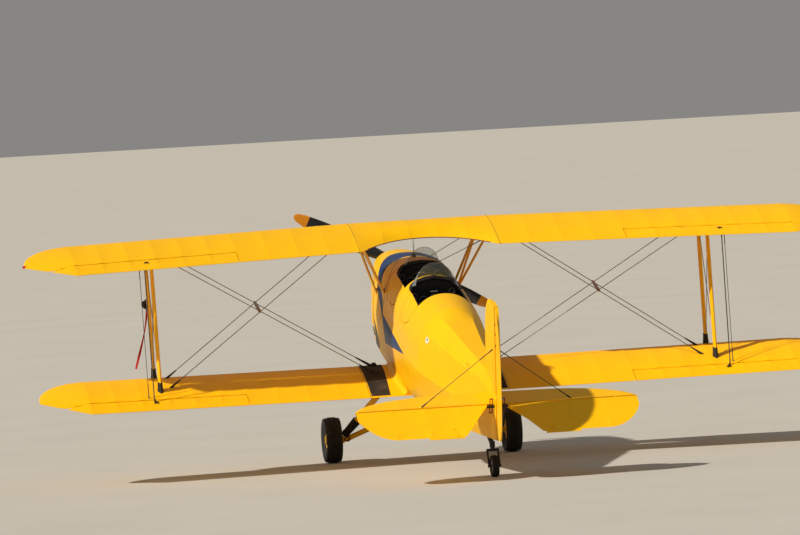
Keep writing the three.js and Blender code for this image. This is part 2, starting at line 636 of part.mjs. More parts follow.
// Cabane struts: a sloping N on each side, from the fuselage's shoulders to the centre section
const cabane = { topX: 585, frontFoot: [335, 1235, -5], rearFoot: [322, 1625, 95] };
const cabaneTop = { front: wingPoint(upperWing, cabane.topX - upperWing.rootX, 0.13, 15),
  rear: wingPoint(upperWing, cabane.topX - upperWing.rootX, 0.6, 15) };
const cabaneFoot = { front: vector(...cabane.frontFoot), rear: vector(...cabane.rearFoot) };
const cabaneSolid = strutSolid(cabaneTop.front, cabaneFoot.front, 56, 26)
  .add(strutSolid(cabaneTop.rear, cabaneFoot.rear, 56, 26))
  .add(strutSolid(cabaneTop.front, cabaneFoot.rear, 50, 24))
  .subtract(outerHull.translate([gap, 0, gap]))
  .subtract(centreSection.translate([0, 0, -gap]));
const cabaneGeometry = toGeometry(cabaneSolid);
addPiece('cabane_struts_left', cabaneGeometry, 'metalPaint');
addPiece('cabane_struts_right', mirrored(cabaneGeometry), 'metalPaint');

// Wing wires: two flying and two landing wires a side, held apart where they cross by one wooden spreader
const wirePoint = {
  flyingFoot: [0.16, 0.42].map((u) => wingPoint(lowerWing, -150, u, 50)),
  flyingTop: [0.2, 0.52].map((u) => wingPoint(upperWing, strutOut.upper - 45, u, 20)),
  landingTop: [0.16, 0.52].map((u) => wingPoint(upperWing, 60, u, 20)),
  landingFoot: [0.2, 0.52].map((u) => wingPoint(lowerWing, strutOut.lower - 45, u, 25)),
};
const wires = (() => {
  let all = null;
  for (const i of [0, 1]) {
    const flying = barSolid(wirePoint.flyingFoot[i], wirePoint.flyingTop[i], wireRadius, 6);
    const landing = barSolid(wirePoint.landingTop[i], wirePoint.landingFoot[i], wireRadius, 6);
    all = all ? all.add(flying).add(landing) : flying.add(landing);
  }
  const crossing = (i) => {
    const a = wirePoint.flyingFoot[i];
    const b = wirePoint.flyingTop[i];
    const c = wirePoint.landingTop[i];
    const d = wirePoint.landingFoot[i];
    const t = ((c.z - a.z) * (d.x - c.x) - (c.x - a.x) * (d.z - c.z))
      / ((b.z - a.z) * (d.x - c.x) - (b.x - a.x) * (d.z - c.z));
    return a.clone().lerp(b, t);
  };
  const near = crossing(0);
  const far = crossing(1);
  const reach = far.clone().sub(near).normalize().multiplyScalar(26);
  const spreader = strutSolid(near.clone().sub(reach), far.clone().add(reach), 60, 20);
  const bar = barSolid(near.clone().sub(reach), far.clone().add(reach), 15, 8);
  return all.add(bar).add(spreader)
    .subtract(liftedLower).subtract(droppedUpper)
    .subtract(rootPieces[0].translate([0, 0, gap]))
    .subtract(centreSection.translate([0, 0, -gap]));
})();
const wiresGeometry = toGeometry(wires);
addPiece('wing_wires_left', wiresGeometry, 'steel');
addPiece('wing_wires_right', mirrored(wiresGeometry), 'steel');

// Aileron links: one rod a side, with an eye at each end
const linkPivot = wingParts.lower.linkEnd;
const linkSolid = barSolid(linkPivot, wingParts.upper.linkEnd, link.rodRadius, 8)
  .add(wingParts.lower.linkEye)
  .add(wingParts.upper.linkEye);
const linkGeometry = toGeometry(linkSolid);
const linkMirror = mirrored(linkGeometry);
addPiece('aileron_link_left', linkGeometry, 'steel', linkPivot, wingParts.lower.axis);
addPiece('aileron_link_right', linkMirror, 'steel', vector(-linkPivot.x, linkPivot.y, linkPivot.z),
  vector(-wingParts.lower.axis.x, wingParts.lower.axis.y, wingParts.lower.axis.z));

// Tail surfaces: flat outlines cut from tapering wedges
function wedge(points, half) {
  const shape = new THREE.Shape(points.map(([y, z]) => new THREE.Vector2(y, z)));
  return sideShapeSolid(shape, half);
}
const { elevatorY, elevatorZ } = hinge;
const surfaceHalf = hinge.noseRadius;
const tipBulge = { x: tail.halfSpan, y: elevatorY - 30 };
const stabiliserShape = new THREE.Shape();
stabiliserShape.moveTo(0, tail.leY - 10);
stabiliserShape.lineTo(450, tail.leY + 8);
stabiliserShape.bezierCurveTo(850, tail.leY + 30, tail.halfSpan - 60, tail.leY + 180, tipBulge.x, tipBulge.y);
stabiliserShape.lineTo(tipBulge.x, elevatorY + 5);
stabiliserShape.lineTo(0, elevatorY + 5);
const stabiliser = planShapeSolid(stabiliserShape, elevatorZ - 60, elevatorZ + 60, 10)
  .intersect(wedge([[tail.leY - 20, elevatorZ - 6], [tail.leY + 90, elevatorZ - 24], [elevatorY, elevatorZ - surfaceHalf - 2],
    [elevatorY, elevatorZ + surfaceHalf + 2], [tail.leY + 90, elevatorZ + 24], [tail.leY - 20, elevatorZ + 6]], 1400))
  .intersect(boxSolid(5, 1400, 5000, elevatorY - hinge.noseRadius - clearance, -100, 300));
const stabiliserLeft = stabiliser.subtract(outerHull.translate([gap, 0, 0]));
const stabiliserGeometry = toGeometry(stabiliserLeft.decompose().sort((a, b) => b.volume() - a.volume())[0]);
addPiece('tailplane_left', stabiliserGeometry, 'fabric');
addPiece('tailplane_right', mirrored(stabiliserGeometry), 'fabric');

const elevatorTail = elevatorY + tail.elevatorChord;
const elevatorShape = new THREE.Shape();
elevatorShape.moveTo(tail.inner, elevatorY);
elevatorShape.lineTo(tail.cutX, elevatorTail);
elevatorShape.lineTo(940, elevatorTail);
elevatorShape.bezierCurveTo(1110, elevatorTail - 20, tipBulge.x + 10, elevatorY + 170, tipBulge.x, elevatorY);
const elevatorHalf = planShapeSolid(elevatorShape, elevatorZ - 60, elevatorZ + 60, 10)
  .intersect(wedge([[elevatorY, elevatorZ - surfaceHalf], [elevatorTail + 10, elevatorZ - 3],
    [elevatorTail + 10, elevatorZ + 3], [elevatorY, elevatorZ + surfaceHalf]], 1400))
  .add(barSolid(vector(tail.inner, elevatorY, elevatorZ), vector(tail.halfSpan - 12, elevatorY, elevatorZ),
    hinge.noseRadius, 12));
const elevatorPivot = vector(0, elevatorY, elevatorZ);
const elevatorTube = barSolid(vector(-tail.inner + gap, elevatorY, elevatorZ), vector(tail.inner + 10, elevatorY, elevatorZ),
  torqueTube.radius, 12);
const elevatorLeftGeometry = toGeometry(elevatorHalf.add(elevatorTube));
const elevatorRightGeometry = mirrored(toGeometry(elevatorHalf));
for (const [name, geometry] of [['elevator_left', elevatorLeftGeometry], ['elevator_right', elevatorRightGeometry]]) {
  const mesh = addPiece(name, geometry, 'fabric', elevatorPivot, vector(1, 0, 0));
  mesh.rotation.x = -radians(rest.elevatorDroop);
}

// Fin and rudder
const finShape = new THREE.Shape();
finShape.moveTo(5290, 250);
finShape.lineTo(5315, 700);
finShape.bezierCurveTo(5330, 900, 5450, 985, 5640, 990);
finShape.lineTo(hinge.rudderY, 985);
finShape.lineTo(hinge.rudderY, 150);
finShape.lineTo(5290, 150);
const finTail = hinge.rudderY - hinge.noseRadius - clearance;
const finFull = sideShapeSolid(finShape, 60)
  .intersect((() => {
    const plan = new THREE.Shape([[4, 5270], [20, 5330], [25, 5600], [20, finTail], [-20, finTail], [-25, 5600],
      [-20, 5330], [-4, 5270]].map(([x, y]) => new THREE.Vector2(x, y)));
    return planShapeSolid(plan, 0, 1200);
  })());
const fin = finFull.subtract(rearFuselage.translate([0, 0, gap])).subtract(boxSolid(-100, 100, 5000, 6000, -500, 205));
addPiece('fin', toGeometry(fin.decompose().sort((a, b) => b.volume() - a.volume())[0]), 'fabric');

const rudderShape = new THREE.Shape();
const rudderTail = 6400;
rudderShape.moveTo(hinge.rudderY, rudderFoot.z);
rudderShape.lineTo(hinge.rudderY, 985);
rudderShape.bezierCurveTo(6080, 975, 6270, 850, 6350, 620);
rudderShape.bezierCurveTo(6400, 450, rudderTail + 10, 300, rudderTail, 180);
rudderShape.bezierCurveTo(6385, 20, 6260, -120, 6080, -160);
rudderShape.lineTo(hinge.rudderY, rudderFoot.z);
const rudderPlan = new THREE.Shape([[16, hinge.rudderY], [3, rudderTail + 20], [-3, rudderTail + 20], [-16, hinge.rudderY]]
  .map(([x, y]) => new THREE.Vector2(x, y)));
const rudderSolid = sideShapeSolid(rudderShape, 60)
  .intersect(planShapeSolid(rudderPlan, -400, 1200))
  .add(barSolid(vector(0, hinge.rudderY, rudderFoot.z), vector(0, hinge.rudderY, 985), hinge.noseRadius, 12));
const rudder = addPiece('rudder', toGeometry(rudderSolid), 'fabric', vector(0, hinge.rudderY, 0), vector(0, 0, 1));
rudder.rotation.z = -radians(rest.rudderLeft);

// Stays from the fin down to the tailplane
const stay = barSolid(vector(18, 5770, 585), vector(655, 5770, elevatorZ + 10), wireRadius, 6)
  .subtract(finFull.translate([gap, 0, 0]))
  .subtract(stabiliserLeft.translate([0, 0, gap]));
const stayGeometry = toGeometry(stay.decompose().sort((a, b) => b.volume() - a.volume())[0]);
addPiece('tail_stay_left', stayGeometry, 'steel');
addPiece('tail_stay_right', mirrored(stayGeometry), 'steel');

// Main landing gear: two sprung legs, and both half axles on a vee of tubes under the belly
const legTop = vector(215, 1720, -600);
const knee = vector(700, wheel.y, wheel.z + 60);
const legMid = legTop.clone().lerp(knee, 0.72);
const legSolid = strutSolid(legTop, legMid, 130, 70)
  .add(barSolid(legMid.clone().lerp(legTop, 0.1), knee, 30, 12, 36))
  .subtract(outerHull.translate([0, 0, -gap]))
  .subtract(rootPieces[0].translate([0, 0, -gap]));
const legGeometry = toGeometry(legSolid.decompose().sort((a, b) => b.volume() - a.volume())[0]);
addPiece('gear_leg_left', legGeometry, 'metalPaint');
addPiece('gear_leg_right', mirrored(legGeometry), 'metalPaint');
const keelPoint = vector(0, 1700, -930);
const halfAxle = barSolid(vector(0, keelPoint.y, keelPoint.z), vector(690, wheel.y, wheel.z + 4), 24, 12)
  .add(barSolid(vector(670, wheel.y, wheel.z), vector(wheel.x + wheel.axleEnd, wheel.y, wheel.z), wheel.axleRadius, 16));
const keelTubes = [[120, 1450], [120, 1980]].map(([x, y]) => barSolid(keelPoint, vector(x, y, -640), 17, 10));
const axleSide = keelTubes.reduce((all, tube) => all.add(tube), halfAxle);
const axles = axleSide.add(mirroredSolid(axleSide))
  .add(toSolid(new THREE.SphereGeometry(38, 14, 10).translate(keelPoint.x, keelPoint.y, keelPoint.z)))
  .subtract(outerHull.translate([0, 0, -gap]))
  .subtract(legSolid.translate([0, 0, -gap]))
  .subtract(mirroredSolid(legSolid).translate([0, 0, -gap]));
addPiece('gear_axles', toGeometry(axles.decompose().sort((a, b) => b.volume() - a.volume())[0]), 'metalPaint');

// Wheels: tyre and disc as one turned piece around a bore for the axle
function wheelGeometry(radius, width, boreRadius, segments) {
  const half = width / 2;
  const profile = [[boreRadius, -half * 0.75], [radius * 0.52, -half * 0.6], [radius * 0.58, -half * 0.85],
    [radius * 0.8, -half], [radius * 0.94, -half * 0.75], [radius, -half * 0.3], [radius, half * 0.3],
    [radius * 0.94, half * 0.75], [radius * 0.8, half], [radius * 0.58, half * 0.85], [radius * 0.52, half * 0.6],
    [boreRadius, half * 0.75], [boreRadius, -half * 0.75]];
  const body = new THREE.LatheGeometry(profile.map(([r, h]) => new THREE.Vector2(r, h)), segments, Math.PI / segments);
  body.rotateZ(Math.PI / 2);
  return toGeometry(toSolid(orientOutward(body)));
}

function orientOutward(geometry) {
  const merged = geometry.clone();
  merged.deleteAttribute('normal');
  merged.deleteAttribute('uv');
  const welded = mergeVertices(merged, 1e-3);
  if (signedVolume(welded) < 0) {
    const index = welded.index.array;
    for (let i = 0; i < index.length; i += 3) {
      [index[i + 1], index[i + 2]] = [index[i + 2], index[i + 1]];
    }
  }
  return welded;
}

for (const [name, side] of [['wheel_left', 1], ['wheel_right', -1]]) {
  const mesh = addPiece(name, wheelGeometry(wheel.radius, wheel.width, wheel.axleRadius + gap, 40), 'rubber');
  mesh.position.set(side * wheel.x, wheel.y, wheel.z);
  mesh.userData.axis = vector(1, 0, 0);
}

// Tailwheel on a sprung leg and a swivelling fork
const tilt = radians(groundAngle);
const groundZ = (y) => wheel.z + (y - wheel.y) * Math.tan(tilt) - wheel.radius / Math.cos(tilt);
const tailHub = vector(0, tailwheel.y, groundZ(tailwheel.y) + tailwheel.radius / Math.cos(tilt));
const parkedStep = (aft, up) => vector(0, aft * Math.cos(tilt) - up * Math.sin(tilt),
  aft * Math.sin(tilt) + up * Math.cos(tilt));
const swivelTop = tailHub.clone().add(parkedStep(-tailwheel.trail, tailwheel.swivelHeight));
const swivelAxis = parkedStep(0, 1);
const alongSwivel = (step) => swivelTop.clone().addScaledVector(swivelAxis, step);
const legBar = barSolid(vector(0, 5150, -250), alongSwivel(10), 22, 10)
  .add(barSolid(alongSwivel(36), alongSwivel(-18), 24, 12))
  .subtract(outerHull.translate([0, 0, -gap]));
addPiece('tailwheel_leg', toGeometry(legBar.decompose().sort((a, b) => b.volume() - a.volume())[0]), 'steel');
const forkTop = alongSwivel(-18 - gap);
const crown = alongSwivel(-40);
const forkEnd = tailwheel.forkX + 7;
const forkSide = (x) => barSolid(vector(x, crown.y, crown.z), vector(x, tailHub.y, tailHub.z), 9, 8);
const fork = barSolid(forkTop, crown, 20, 12)
  .add(barSolid(vector(-forkEnd, crown.y, crown.z), vector(forkEnd, crown.y, crown.z), 12, 8))
  .add(forkSide(tailwheel.forkX))
  .add(forkSide(-tailwheel.forkX))
  .add(barSolid(vector(-forkEnd, tailHub.y, tailHub.z), vector(forkEnd, tailHub.y, tailHub.z), tailwheel.axleRadius, 12));
addPiece('tailwheel_fork', toGeometry(fork), 'steel', forkTop, swivelAxis);
const tailwheelMesh = addPiece('tailwheel', wheelGeometry(tailwheel.radius, tailwheel.width, tailwheel.axleRadius + gap, 28), 'rubber');
tailwheelMesh.position.copy(tailHub);
tailwheelMesh.userData.axis = vector(1, 0, 0);

// Propeller: two wooden blades on a round hub
const bladeTable = [
  // out, chord, thickness, pitch
  [40, 88, 68, 55], [140, 114, 56, 50], [300, 146, 38, 39], [520, 158, 27, 29], [760, 140, 19, 22],
  [940, 108, 13, 19], [1015, 74, 9, 18], [1043, 30, 6, 18],
];
const bladeRings = bladeTable.map(([out, chord, thickness, pitch]) => {
  const ring = [];
  const steps = 12;
  for (let i = 0; i < steps; i += 1) {
    const angle = (2 * Math.PI * (i + 0.5)) / steps;
    const a = (chord / 2) * Math.cos(angle);
    const b = (thickness / 2) * Math.sin(angle);
    const turn = radians(pitch);
    ring.push(vector(out, -a * Math.sin(turn) + b * Math.cos(turn), a * Math.cos(turn) + b * Math.sin(turn)));
  }
  return ring;
});
const bladeGeometry = loft(bladeRings);
const otherBlade = bladeGeometry.clone().rotateY(Math.PI);
const hubSolid = barSolid(vector(0, -propeller.hubDepth / 2, 0), vector(0, propeller.hubDepth / 2, 0),
  propeller.hubRadius, 32);
const propellerSolid = toSolid(bladeGeometry).add(toSolid(otherBlade)).add(hubSolid);
const propellerMesh = addPiece('propeller', toGeometry(propellerSolid), 'black', vector(0, 0, 0), vector(0, 1, 0));
propellerMesh.rotation.y = -radians(propeller.restAngle);

// Tail down on the ground, centred under its own box
aircraft.rotation.x = -tilt;
aircraft.updateMatrixWorld(true);
const box = new THREE.Box3().setFromObject(aircraft, true);
aircraft.position.set(0, -(box.min.y + box.max.y) / 2, -box.min.z);
aircraft.updateMatrixWorld(true);

export default aircraft;
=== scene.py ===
# Two-seat training biplane: fabric, paint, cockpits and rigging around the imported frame.
# Lengths are metres. Shapes are drawn in flight position, x left, y aft of the propeller and
# z up from the thrust line, and are then tipped tail down to where the frame stands.
import json
import math

import bmesh
import bpy
from mathutils import Matrix, Quaternion, Vector


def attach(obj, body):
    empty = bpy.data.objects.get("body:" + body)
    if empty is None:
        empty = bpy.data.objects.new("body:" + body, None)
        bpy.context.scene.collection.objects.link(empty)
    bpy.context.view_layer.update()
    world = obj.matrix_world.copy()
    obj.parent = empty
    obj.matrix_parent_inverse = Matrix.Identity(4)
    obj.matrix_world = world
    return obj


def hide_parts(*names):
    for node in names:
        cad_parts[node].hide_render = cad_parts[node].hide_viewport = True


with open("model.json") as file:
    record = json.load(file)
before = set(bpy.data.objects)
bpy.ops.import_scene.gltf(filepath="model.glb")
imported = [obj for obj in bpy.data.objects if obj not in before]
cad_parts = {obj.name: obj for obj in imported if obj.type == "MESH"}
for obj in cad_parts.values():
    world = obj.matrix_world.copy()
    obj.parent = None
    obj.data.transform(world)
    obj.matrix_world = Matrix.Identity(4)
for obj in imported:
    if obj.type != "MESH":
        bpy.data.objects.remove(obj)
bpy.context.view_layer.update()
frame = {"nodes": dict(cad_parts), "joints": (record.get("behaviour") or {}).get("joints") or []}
scene = bpy.context.scene

# Where the aircraft stands, and how its controls rest
stance = {"groundAngle": 12.3, "elevatorDroop": 18, "rudderLeft": 6, "propellerUp": 27.9}
hingeY, hingeZ, rudderY = 5.817, 0.088, 5.895
thrustPoint = next(Vector(joint["pos_m"]) for joint in frame["joints"] if joint["name"] == "propeller_spin")
parked = Matrix.Translation(thrustPoint) @ Matrix.Rotation(math.radians(-stance["groundAngle"]), 4, "X")


def turnedAbout(pivot, degrees, axis):
    there = Matrix.Translation(pivot)
    return there @ Matrix.Rotation(math.radians(degrees), 4, axis) @ there.inverted()


restTurns = {
    "elevator": turnedAbout((0, hingeY, hingeZ), -stance["elevatorDroop"], "X"),
    "rudder": turnedAbout((0, rudderY, 0), -stance["rudderLeft"], "Z"),
    "propeller": turnedAbout((0, 0, 0), -stance["propellerUp"], "Y"),
}

# Camera: the photograph's long lens from behind the left side
photoCamera = {"eye": (11.284, 74.204, 3.852), "aim": (0.474, 0.524, 1.818), "roll": -3.30, "lens": 377.9}
cameraData = bpy.data.cameras.new("photoCamera")
cameraData.lens = photoCamera["lens"]
cameraData.sensor_width = 36
cameraData.clip_end = 400
camera = bpy.data.objects.new("photoCamera", cameraData)
scene.collection.objects.link(camera)
scene.camera = camera
camera.location = photoCamera["eye"]
lookAlong = (Vector(photoCamera["aim"]) - camera.location).to_track_quat("-Z", "Y")
camera.rotation_mode = "QUATERNION"
camera.rotation_quaternion = lookAlong @ Quaternion((0, 0, 1), math.radians(photoCamera["roll"]))
print("camera placed")


# Colours and nodes
def linear(hexColour, alpha=1.0):
    channels = [int(hexColour[i:i + 2], 16) / 255 for i in (0, 2, 4)]
    return (*[c / 12.92 if c <= 0.04045 else ((c + 0.055) / 1.055) ** 2.4 for c in channels], alpha)


def addNode(tree, kind, inputs=None, **settings):
    made = tree.nodes.new(kind)
    for name, value in settings.items():
        setattr(made, name, value)
    for name, value in (inputs or {}).items():
        if isinstance(value, bpy.types.NodeSocket):
            tree.links.new(value, made.inputs[name])
        else:
            made.inputs[name].default_value = value
    return made


def newMaterial(name, **sockets):
    material = bpy.data.materials.new(name)
    material.use_nodes = True
    tree = material.node_tree
    shader = tree.nodes["Principled BSDF"]
    for socket, value in sockets.items():
        shader.inputs[socket.replace("_", " ")].default_value = value
    return material, tree, shader


def objectPlace(tree):
    return addNode(tree, "ShaderNodeTexCoord").outputs["Object"]


def flightPlace(tree):
    # Object coordinates turned back into flight position
    back = parked.inverted()
    turned = {"Vector": objectPlace(tree), "Location": back.translation, "Rotation": back.to_euler()}
    return addNode(tree, "ShaderNodeMapping", turned).outputs["Vector"]


def mathNode(tree, operation, a, b):
    return addNode(tree, "ShaderNodeMath", {0: a, 1: b}, operation=operation).outputs[0]


def mixColours(tree, factor, a, b):
    return addNode(tree, "ShaderNodeMix", {0: factor, 6: a, 7: b}, data_type="RGBA").outputs[2]


def noise(tree, place, scale, detail, **more):
    inputs = {"Vector": place, "Scale": scale, "Detail": detail, **more}
    return addNode(tree, "ShaderNodeTexNoise", inputs).outputs["Fac"]


def grimeOver(tree, place, colour, grime, share, patch):
    # Cloudy patches, patch metres across, that let share of the grime colour through
    cloud = noise(tree, place, 1 / patch, 6, Roughness=0.62)
    spread = addNode(tree, "ShaderNodeMapRange", {
        "Value": cloud, "From Min": 0.42, "From Max": 0.75, "To Min": 0.0, "To Max": share})
    return mixColours(tree, spread.outputs[0], colour, grime)


def bumpInto(tree, shader, height, strength, distance):
    bump = addNode(tree, "ShaderNodeBump", {"Height": height, "Strength": strength, "Distance": distance})
    tree.links.new(bump.outputs[0], shader.inputs["Normal"])


paint = {name: linear(colour) for name, colour in (
    ("sunYellow", "FFC700"), ("deepYellow", "FBB000"), ("navy", "16386A"), ("grime", "8A6A2A"))}


def blueMask(tree, place):
    # Where the fuselage is navy: a band over the top cowl that sweeps aft down each side into an arrow
    band = {"front": 0.69, "aft": 1.18, "bow": 4.9, "low": -0.12, "line": 0.05, "lineWidth": 0.016, "lineLow": 0.02}
    sweep = {"aftY": 1.588, "aftSlope": 0.95, "frontY": 1.39, "frontSlope": 2.3, "frontLimit": 1.8}
    arrow = {"lowZ": -0.596, "lowSlope": 0.155, "highZ": 0.007, "highSlope": -0.051}
    x, y, z = addNode(tree, "ShaderNodeSeparateXYZ", {"Vector": place}).outputs

    def allOf(first, *others):
        for other in others:
            first = mathNode(tree, "MULTIPLY", first, other)
        return first

    def above(a, b):
        return mathNode(tree, "GREATER_THAN", a, b)

    def below(a, b):
        return mathNode(tree, "LESS_THAN", a, b)

    def line(start, slope, along):
        return mathNode(tree, "ADD", allOf(along, slope), start)

    aftOfNose = mathNode(tree, "SUBTRACT", y, allOf(x, x, band["bow"]))
    over = allOf(above(aftOfNose, band["front"]), below(aftOfNose, band["aft"]), above(z, band["low"]),
                 below(y, line(sweep["aftY"], -sweep["aftSlope"], z)))
    thinFrom = band["aft"] + band["line"]
    thin = allOf(above(aftOfNose, thinFrom), below(aftOfNose, thinFrom + band["lineWidth"]), above(z, band["lineLow"]))
    side = allOf(above(z, line(arrow["lowZ"], arrow["lowSlope"], y)),
                 below(z, line(arrow["highZ"], arrow["highSlope"], y)))
    front = mathNode(tree, "MINIMUM", line(sweep["frontY"], -sweep["frontSlope"], z), sweep["frontLimit"])
    swept = allOf(mathNode(tree, "MAXIMUM", over, side), above(y, front))
    return mathNode(tree, "MAXIMUM", swept, thin)


def yellowPaint(tree, shader, place, cloud, sunShare, grimeShare, grimePatch, striped=False):
    # Two yellows in soft clouds, the navy scheme where it is striped, and a little grime over both
    tone = mixColours(tree, cloud, paint["deepYellow"], paint["sunYellow"])
    tone = mixColours(tree, sunShare, tone, paint["sunYellow"])
    if striped:
        tone = mixColours(tree, blueMask(tree, place), tone, paint["navy"])
    tree.links.new(grimeOver(tree, place, tone, paint["grime"], grimeShare, grimePatch), shader.inputs["Base Color"])


def makeDopedLinen():
    # Linen tautened with dope and sprayed: satin, with the weave just there and soft cloudy shade
    material, tree, shader = newMaterial("dopedLinenYellow", Roughness=0.5, Specular_IOR_Level=0.16)
    place = flightPlace(tree)
    yellowPaint(tree, shader, place, noise(tree, place, 1.6, 4, Roughness=0.55), 0.55, 0.10, 0.35)
    # threads lie 0.6 mm apart and are drawn 3 mm apart, so that they show
    threads = [addNode(tree, "ShaderNodeTexWave", {"Vector": place, "Scale": 104.7, "Distortion": 0.6},
                       bands_direction=way).outputs["Fac"] for way in ("X", "Y")]
    bumpInto(tree, shader, mathNode(tree, "ADD", *threads), 0.12, 0.0003)
    return material


def makeYellowEnamel(name, striped):
    # Sprayed enamel on sheet metal: dull gloss, a little orange peel, oil haze in patches
    material, tree, shader = newMaterial(name, Roughness=0.42, Specular_IOR_Level=0.2, Coat_Weight=0.05,
                                         Coat_Roughness=0.1)
    place = flightPlace(tree)
    yellowPaint(tree, shader, place, noise(tree, place, 2.2, 3), 0.6, 0.14, 0.25, striped)
    bumpInto(tree, shader, noise(tree, place, 260, 2), 0.06, 0.0004)  # 4 mm dimples
    return material


def makePlain(name, colour, second, patch, grain, depth, **sockets):
    # A finish of two close tones in patches, with a fine grain of its own in the surface
    material, tree, shader = newMaterial(name, **sockets)
    place = objectPlace(tree)
    tone = mixColours(tree, noise(tree, place, 1 / patch, 5), linear(colour), linear(second))
    tree.links.new(tone, shader.inputs["Base Color"])
    bumpInto(tree, shader, noise(tree, place, 1 / grain, 3), 0.5, depth)
    return material


def makeWood(name, colour, second, ringMm):
    # Varnished timber: growth rings ringMm apart
    material, tree, shader = newMaterial(name, Roughness=0.3, Coat_Weight=0.5)
    rings = addNode(tree, "ShaderNodeTexWave", {
        "Vector": objectPlace(tree), "Scale": 314 / ringMm, "Distortion": 3.5, "Detail": 3}, bands_direction="Z")
    tree.links.new(mixColours(tree, rings.outputs["Fac"], linear(colour), linear(second)), shader.inputs["Base Color"])
    bumpInto(tree, shader, rings.outputs["Fac"], 0.15, 0.0003)
    return material


def makeTread():
    # Non-slip walkway: coarse grit in black-brown paint, dusty from shoes
    material, tree, shader = newMaterial("gritWalkwayBlack", Roughness=0.82)
    place = flightPlace(tree)
    worn = grimeOver(tree, place, linear("1B1611"), linear("574430"), 0.6, 0.12)
    tree.links.new(worn, shader.inputs["Base Color"])
    grit = addNode(tree, "ShaderNodeTexVoronoi", {"Vector": place, "Scale": 420})  # 2.4 mm grains
    bumpInto(tree, shader, grit.outputs["Distance"], 0.6, 0.0012)
    return material


def makeClear(name, colour, roughness, veil=1.0, through=1.0):
    # Clear sheet or glass with the faint haze of polishing; veil is how much of it shows
    material, tree, shader = newMaterial(name, Roughness=roughness, Transmission_Weight=through, IOR=1.49, Alpha=veil)
    shader.inputs["Base Color"].default_value = linear(colour)
    bumpInto(tree, shader, noise(tree, objectPlace(tree), 30, 4), 0.03, 0.0005)
    return material


finishes = {
    "linen": makeDopedLinen(),
    "enamel": makeYellowEnamel("sheetEnamelYellow", False),
    "striped": makeYellowEnamel("sheetEnamelYellowNavy", True),
    # satin black is also the painted shade inside the outlets, slots and holes on the fuselage
    "black": makePlain("satinBlackPaintAndHoleShade", "141518", "1E1F22", 0.1, 0.003, 0.0003, Roughness=0.42),
    "rubber": makePlain("tyreRubber", "151617", "26262A", 0.06, 0.002, 0.0006, Roughness=0.78),
    "leather": makePlain("blackPaddedLeather", "17120F", "261C16", 0.05, 0.0035, 0.0012, Roughness=0.5),
    "canvas": makePlain("greenBrownCanvas", "3B3A2C", "4A4733", 0.08, 0.0018, 0.0008, Roughness=0.9),
    "canvasBlack": makePlain("waxedBlackCanvas", "17181A", "242427", 0.05, 0.0018, 0.0008, Roughness=0.85),
    "redCloth": makePlain("redBunting", "A81414", "C22018", 0.05, 0.0012, 0.0004, Roughness=0.8),
    "steel": makePlain("polishedSteelWire", "6A6C6E", "808284", 0.05, 0.002, 0.0002, Metallic=1.0, Roughness=0.3),
    "dark": makePlain("oiledDarkSteel", "2A2B2D", "3B3A38", 0.03, 0.002, 0.0004, Metallic=0.7, Roughness=0.45),
    "alloy": makePlain("castAlloy", "7C7E80", "93969A", 0.04, 0.002, 0.0008, Metallic=1.0, Roughness=0.5),
    "burnt": makePlain("heatStainedSteel", "3A2C24", "5A4638", 0.05, 0.003, 0.0006, Metallic=0.8, Roughness=0.6),
    "inside": makePlain("cockpitGreyPaint", "2E302D", "3A3C38", 0.2, 0.003, 0.0004, Roughness=0.6),
    "oxide": makePlain("redOxidePrimer", "6E2412", "82351C", 0.03, 0.002, 0.0003, Roughness=0.55),
    "board": makePlain("instrumentBoardBlack", "0E0F10", "17181A", 0.05, 0.001, 0.0003, Roughness=0.55),
    "dial": makePlain("dialFaceBlack", "0A0A0B", "101112", 0.02, 0.001, 0.0001, Roughness=0.35),
    "mark": makePlain("dialMarkWhite", "D8D6CC", "E6E4DA", 0.02, 0.001, 0.0001, Roughness=0.6),
    "spruce": makeWood("varnishedSpruce", "7B4A2A", "9A6338", 3),
    "blade": makeWood("blackPaintedLaminate", "121315", "1B1B1E", 12),
    "tipPaint": makePlain("tipPaintOrange", "E89310", "F2A21A", 0.1, 0.003, 0.0003, Roughness=0.35),
    "tread": makeTread(),
    "acrylic": makeClear("clearAcrylic", "9DB4C0", 0.06, 0.26, 0.0),
    "redLens": makeClear("redLampGlass", "E01010", 0.08),
    "greenLens": makeClear("greenLampGlass", "10B040", 0.08),
}
print("finishes mixed")

# Shared ways of making a piece
sides = (("left", 1), ("right", -1))


def upBy(height):
    return Vector((0, 0, height))


def turnsOf(count):
    return [2 * math.pi * k / count for k in range(count)]


def mirrored(points):
    return [Vector((-p.x, p.y, p.z)) for p in points]


def flip(bm):
    bmesh.ops.scale(bm, vec=(-1, 1, 1), verts=bm.verts)


def makePiece(name, bm, finish, body="root", stands=(), crease=32):
    bmesh.ops.remove_doubles(bm, verts=bm.verts, dist=0.00004)
    bmesh.ops.recalc_face_normals(bm, faces=bm.faces)
    bmesh.ops.transform(bm, matrix=parked @ restTurns.get(body, Matrix()), verts=bm.verts)
    for face in bm.faces:
        face.smooth = True
    mesh = bpy.data.meshes.new(name)
    bm.to_mesh(mesh)
    bm.free()
    mesh.set_sharp_from_angle(angle=math.radians(crease))
    for one in [finish] if isinstance(finish, str) else finish:
        mesh.materials.append(finishes[one])
    piece = bpy.data.objects.new(name, mesh)
    scene.collection.objects.link(piece)
    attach(piece, body)
    if stands:
        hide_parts(*stands)
    return piece


def makeOne(build, name, finish, body="root", stands=(), crease=32):
    # build draws in the shape it is given, or hands back the one that it carved from it
    bm = bmesh.new()
    carved = build(bm)
    return makePiece(name, bm if carved is None else carved, finish, body, stands, crease)


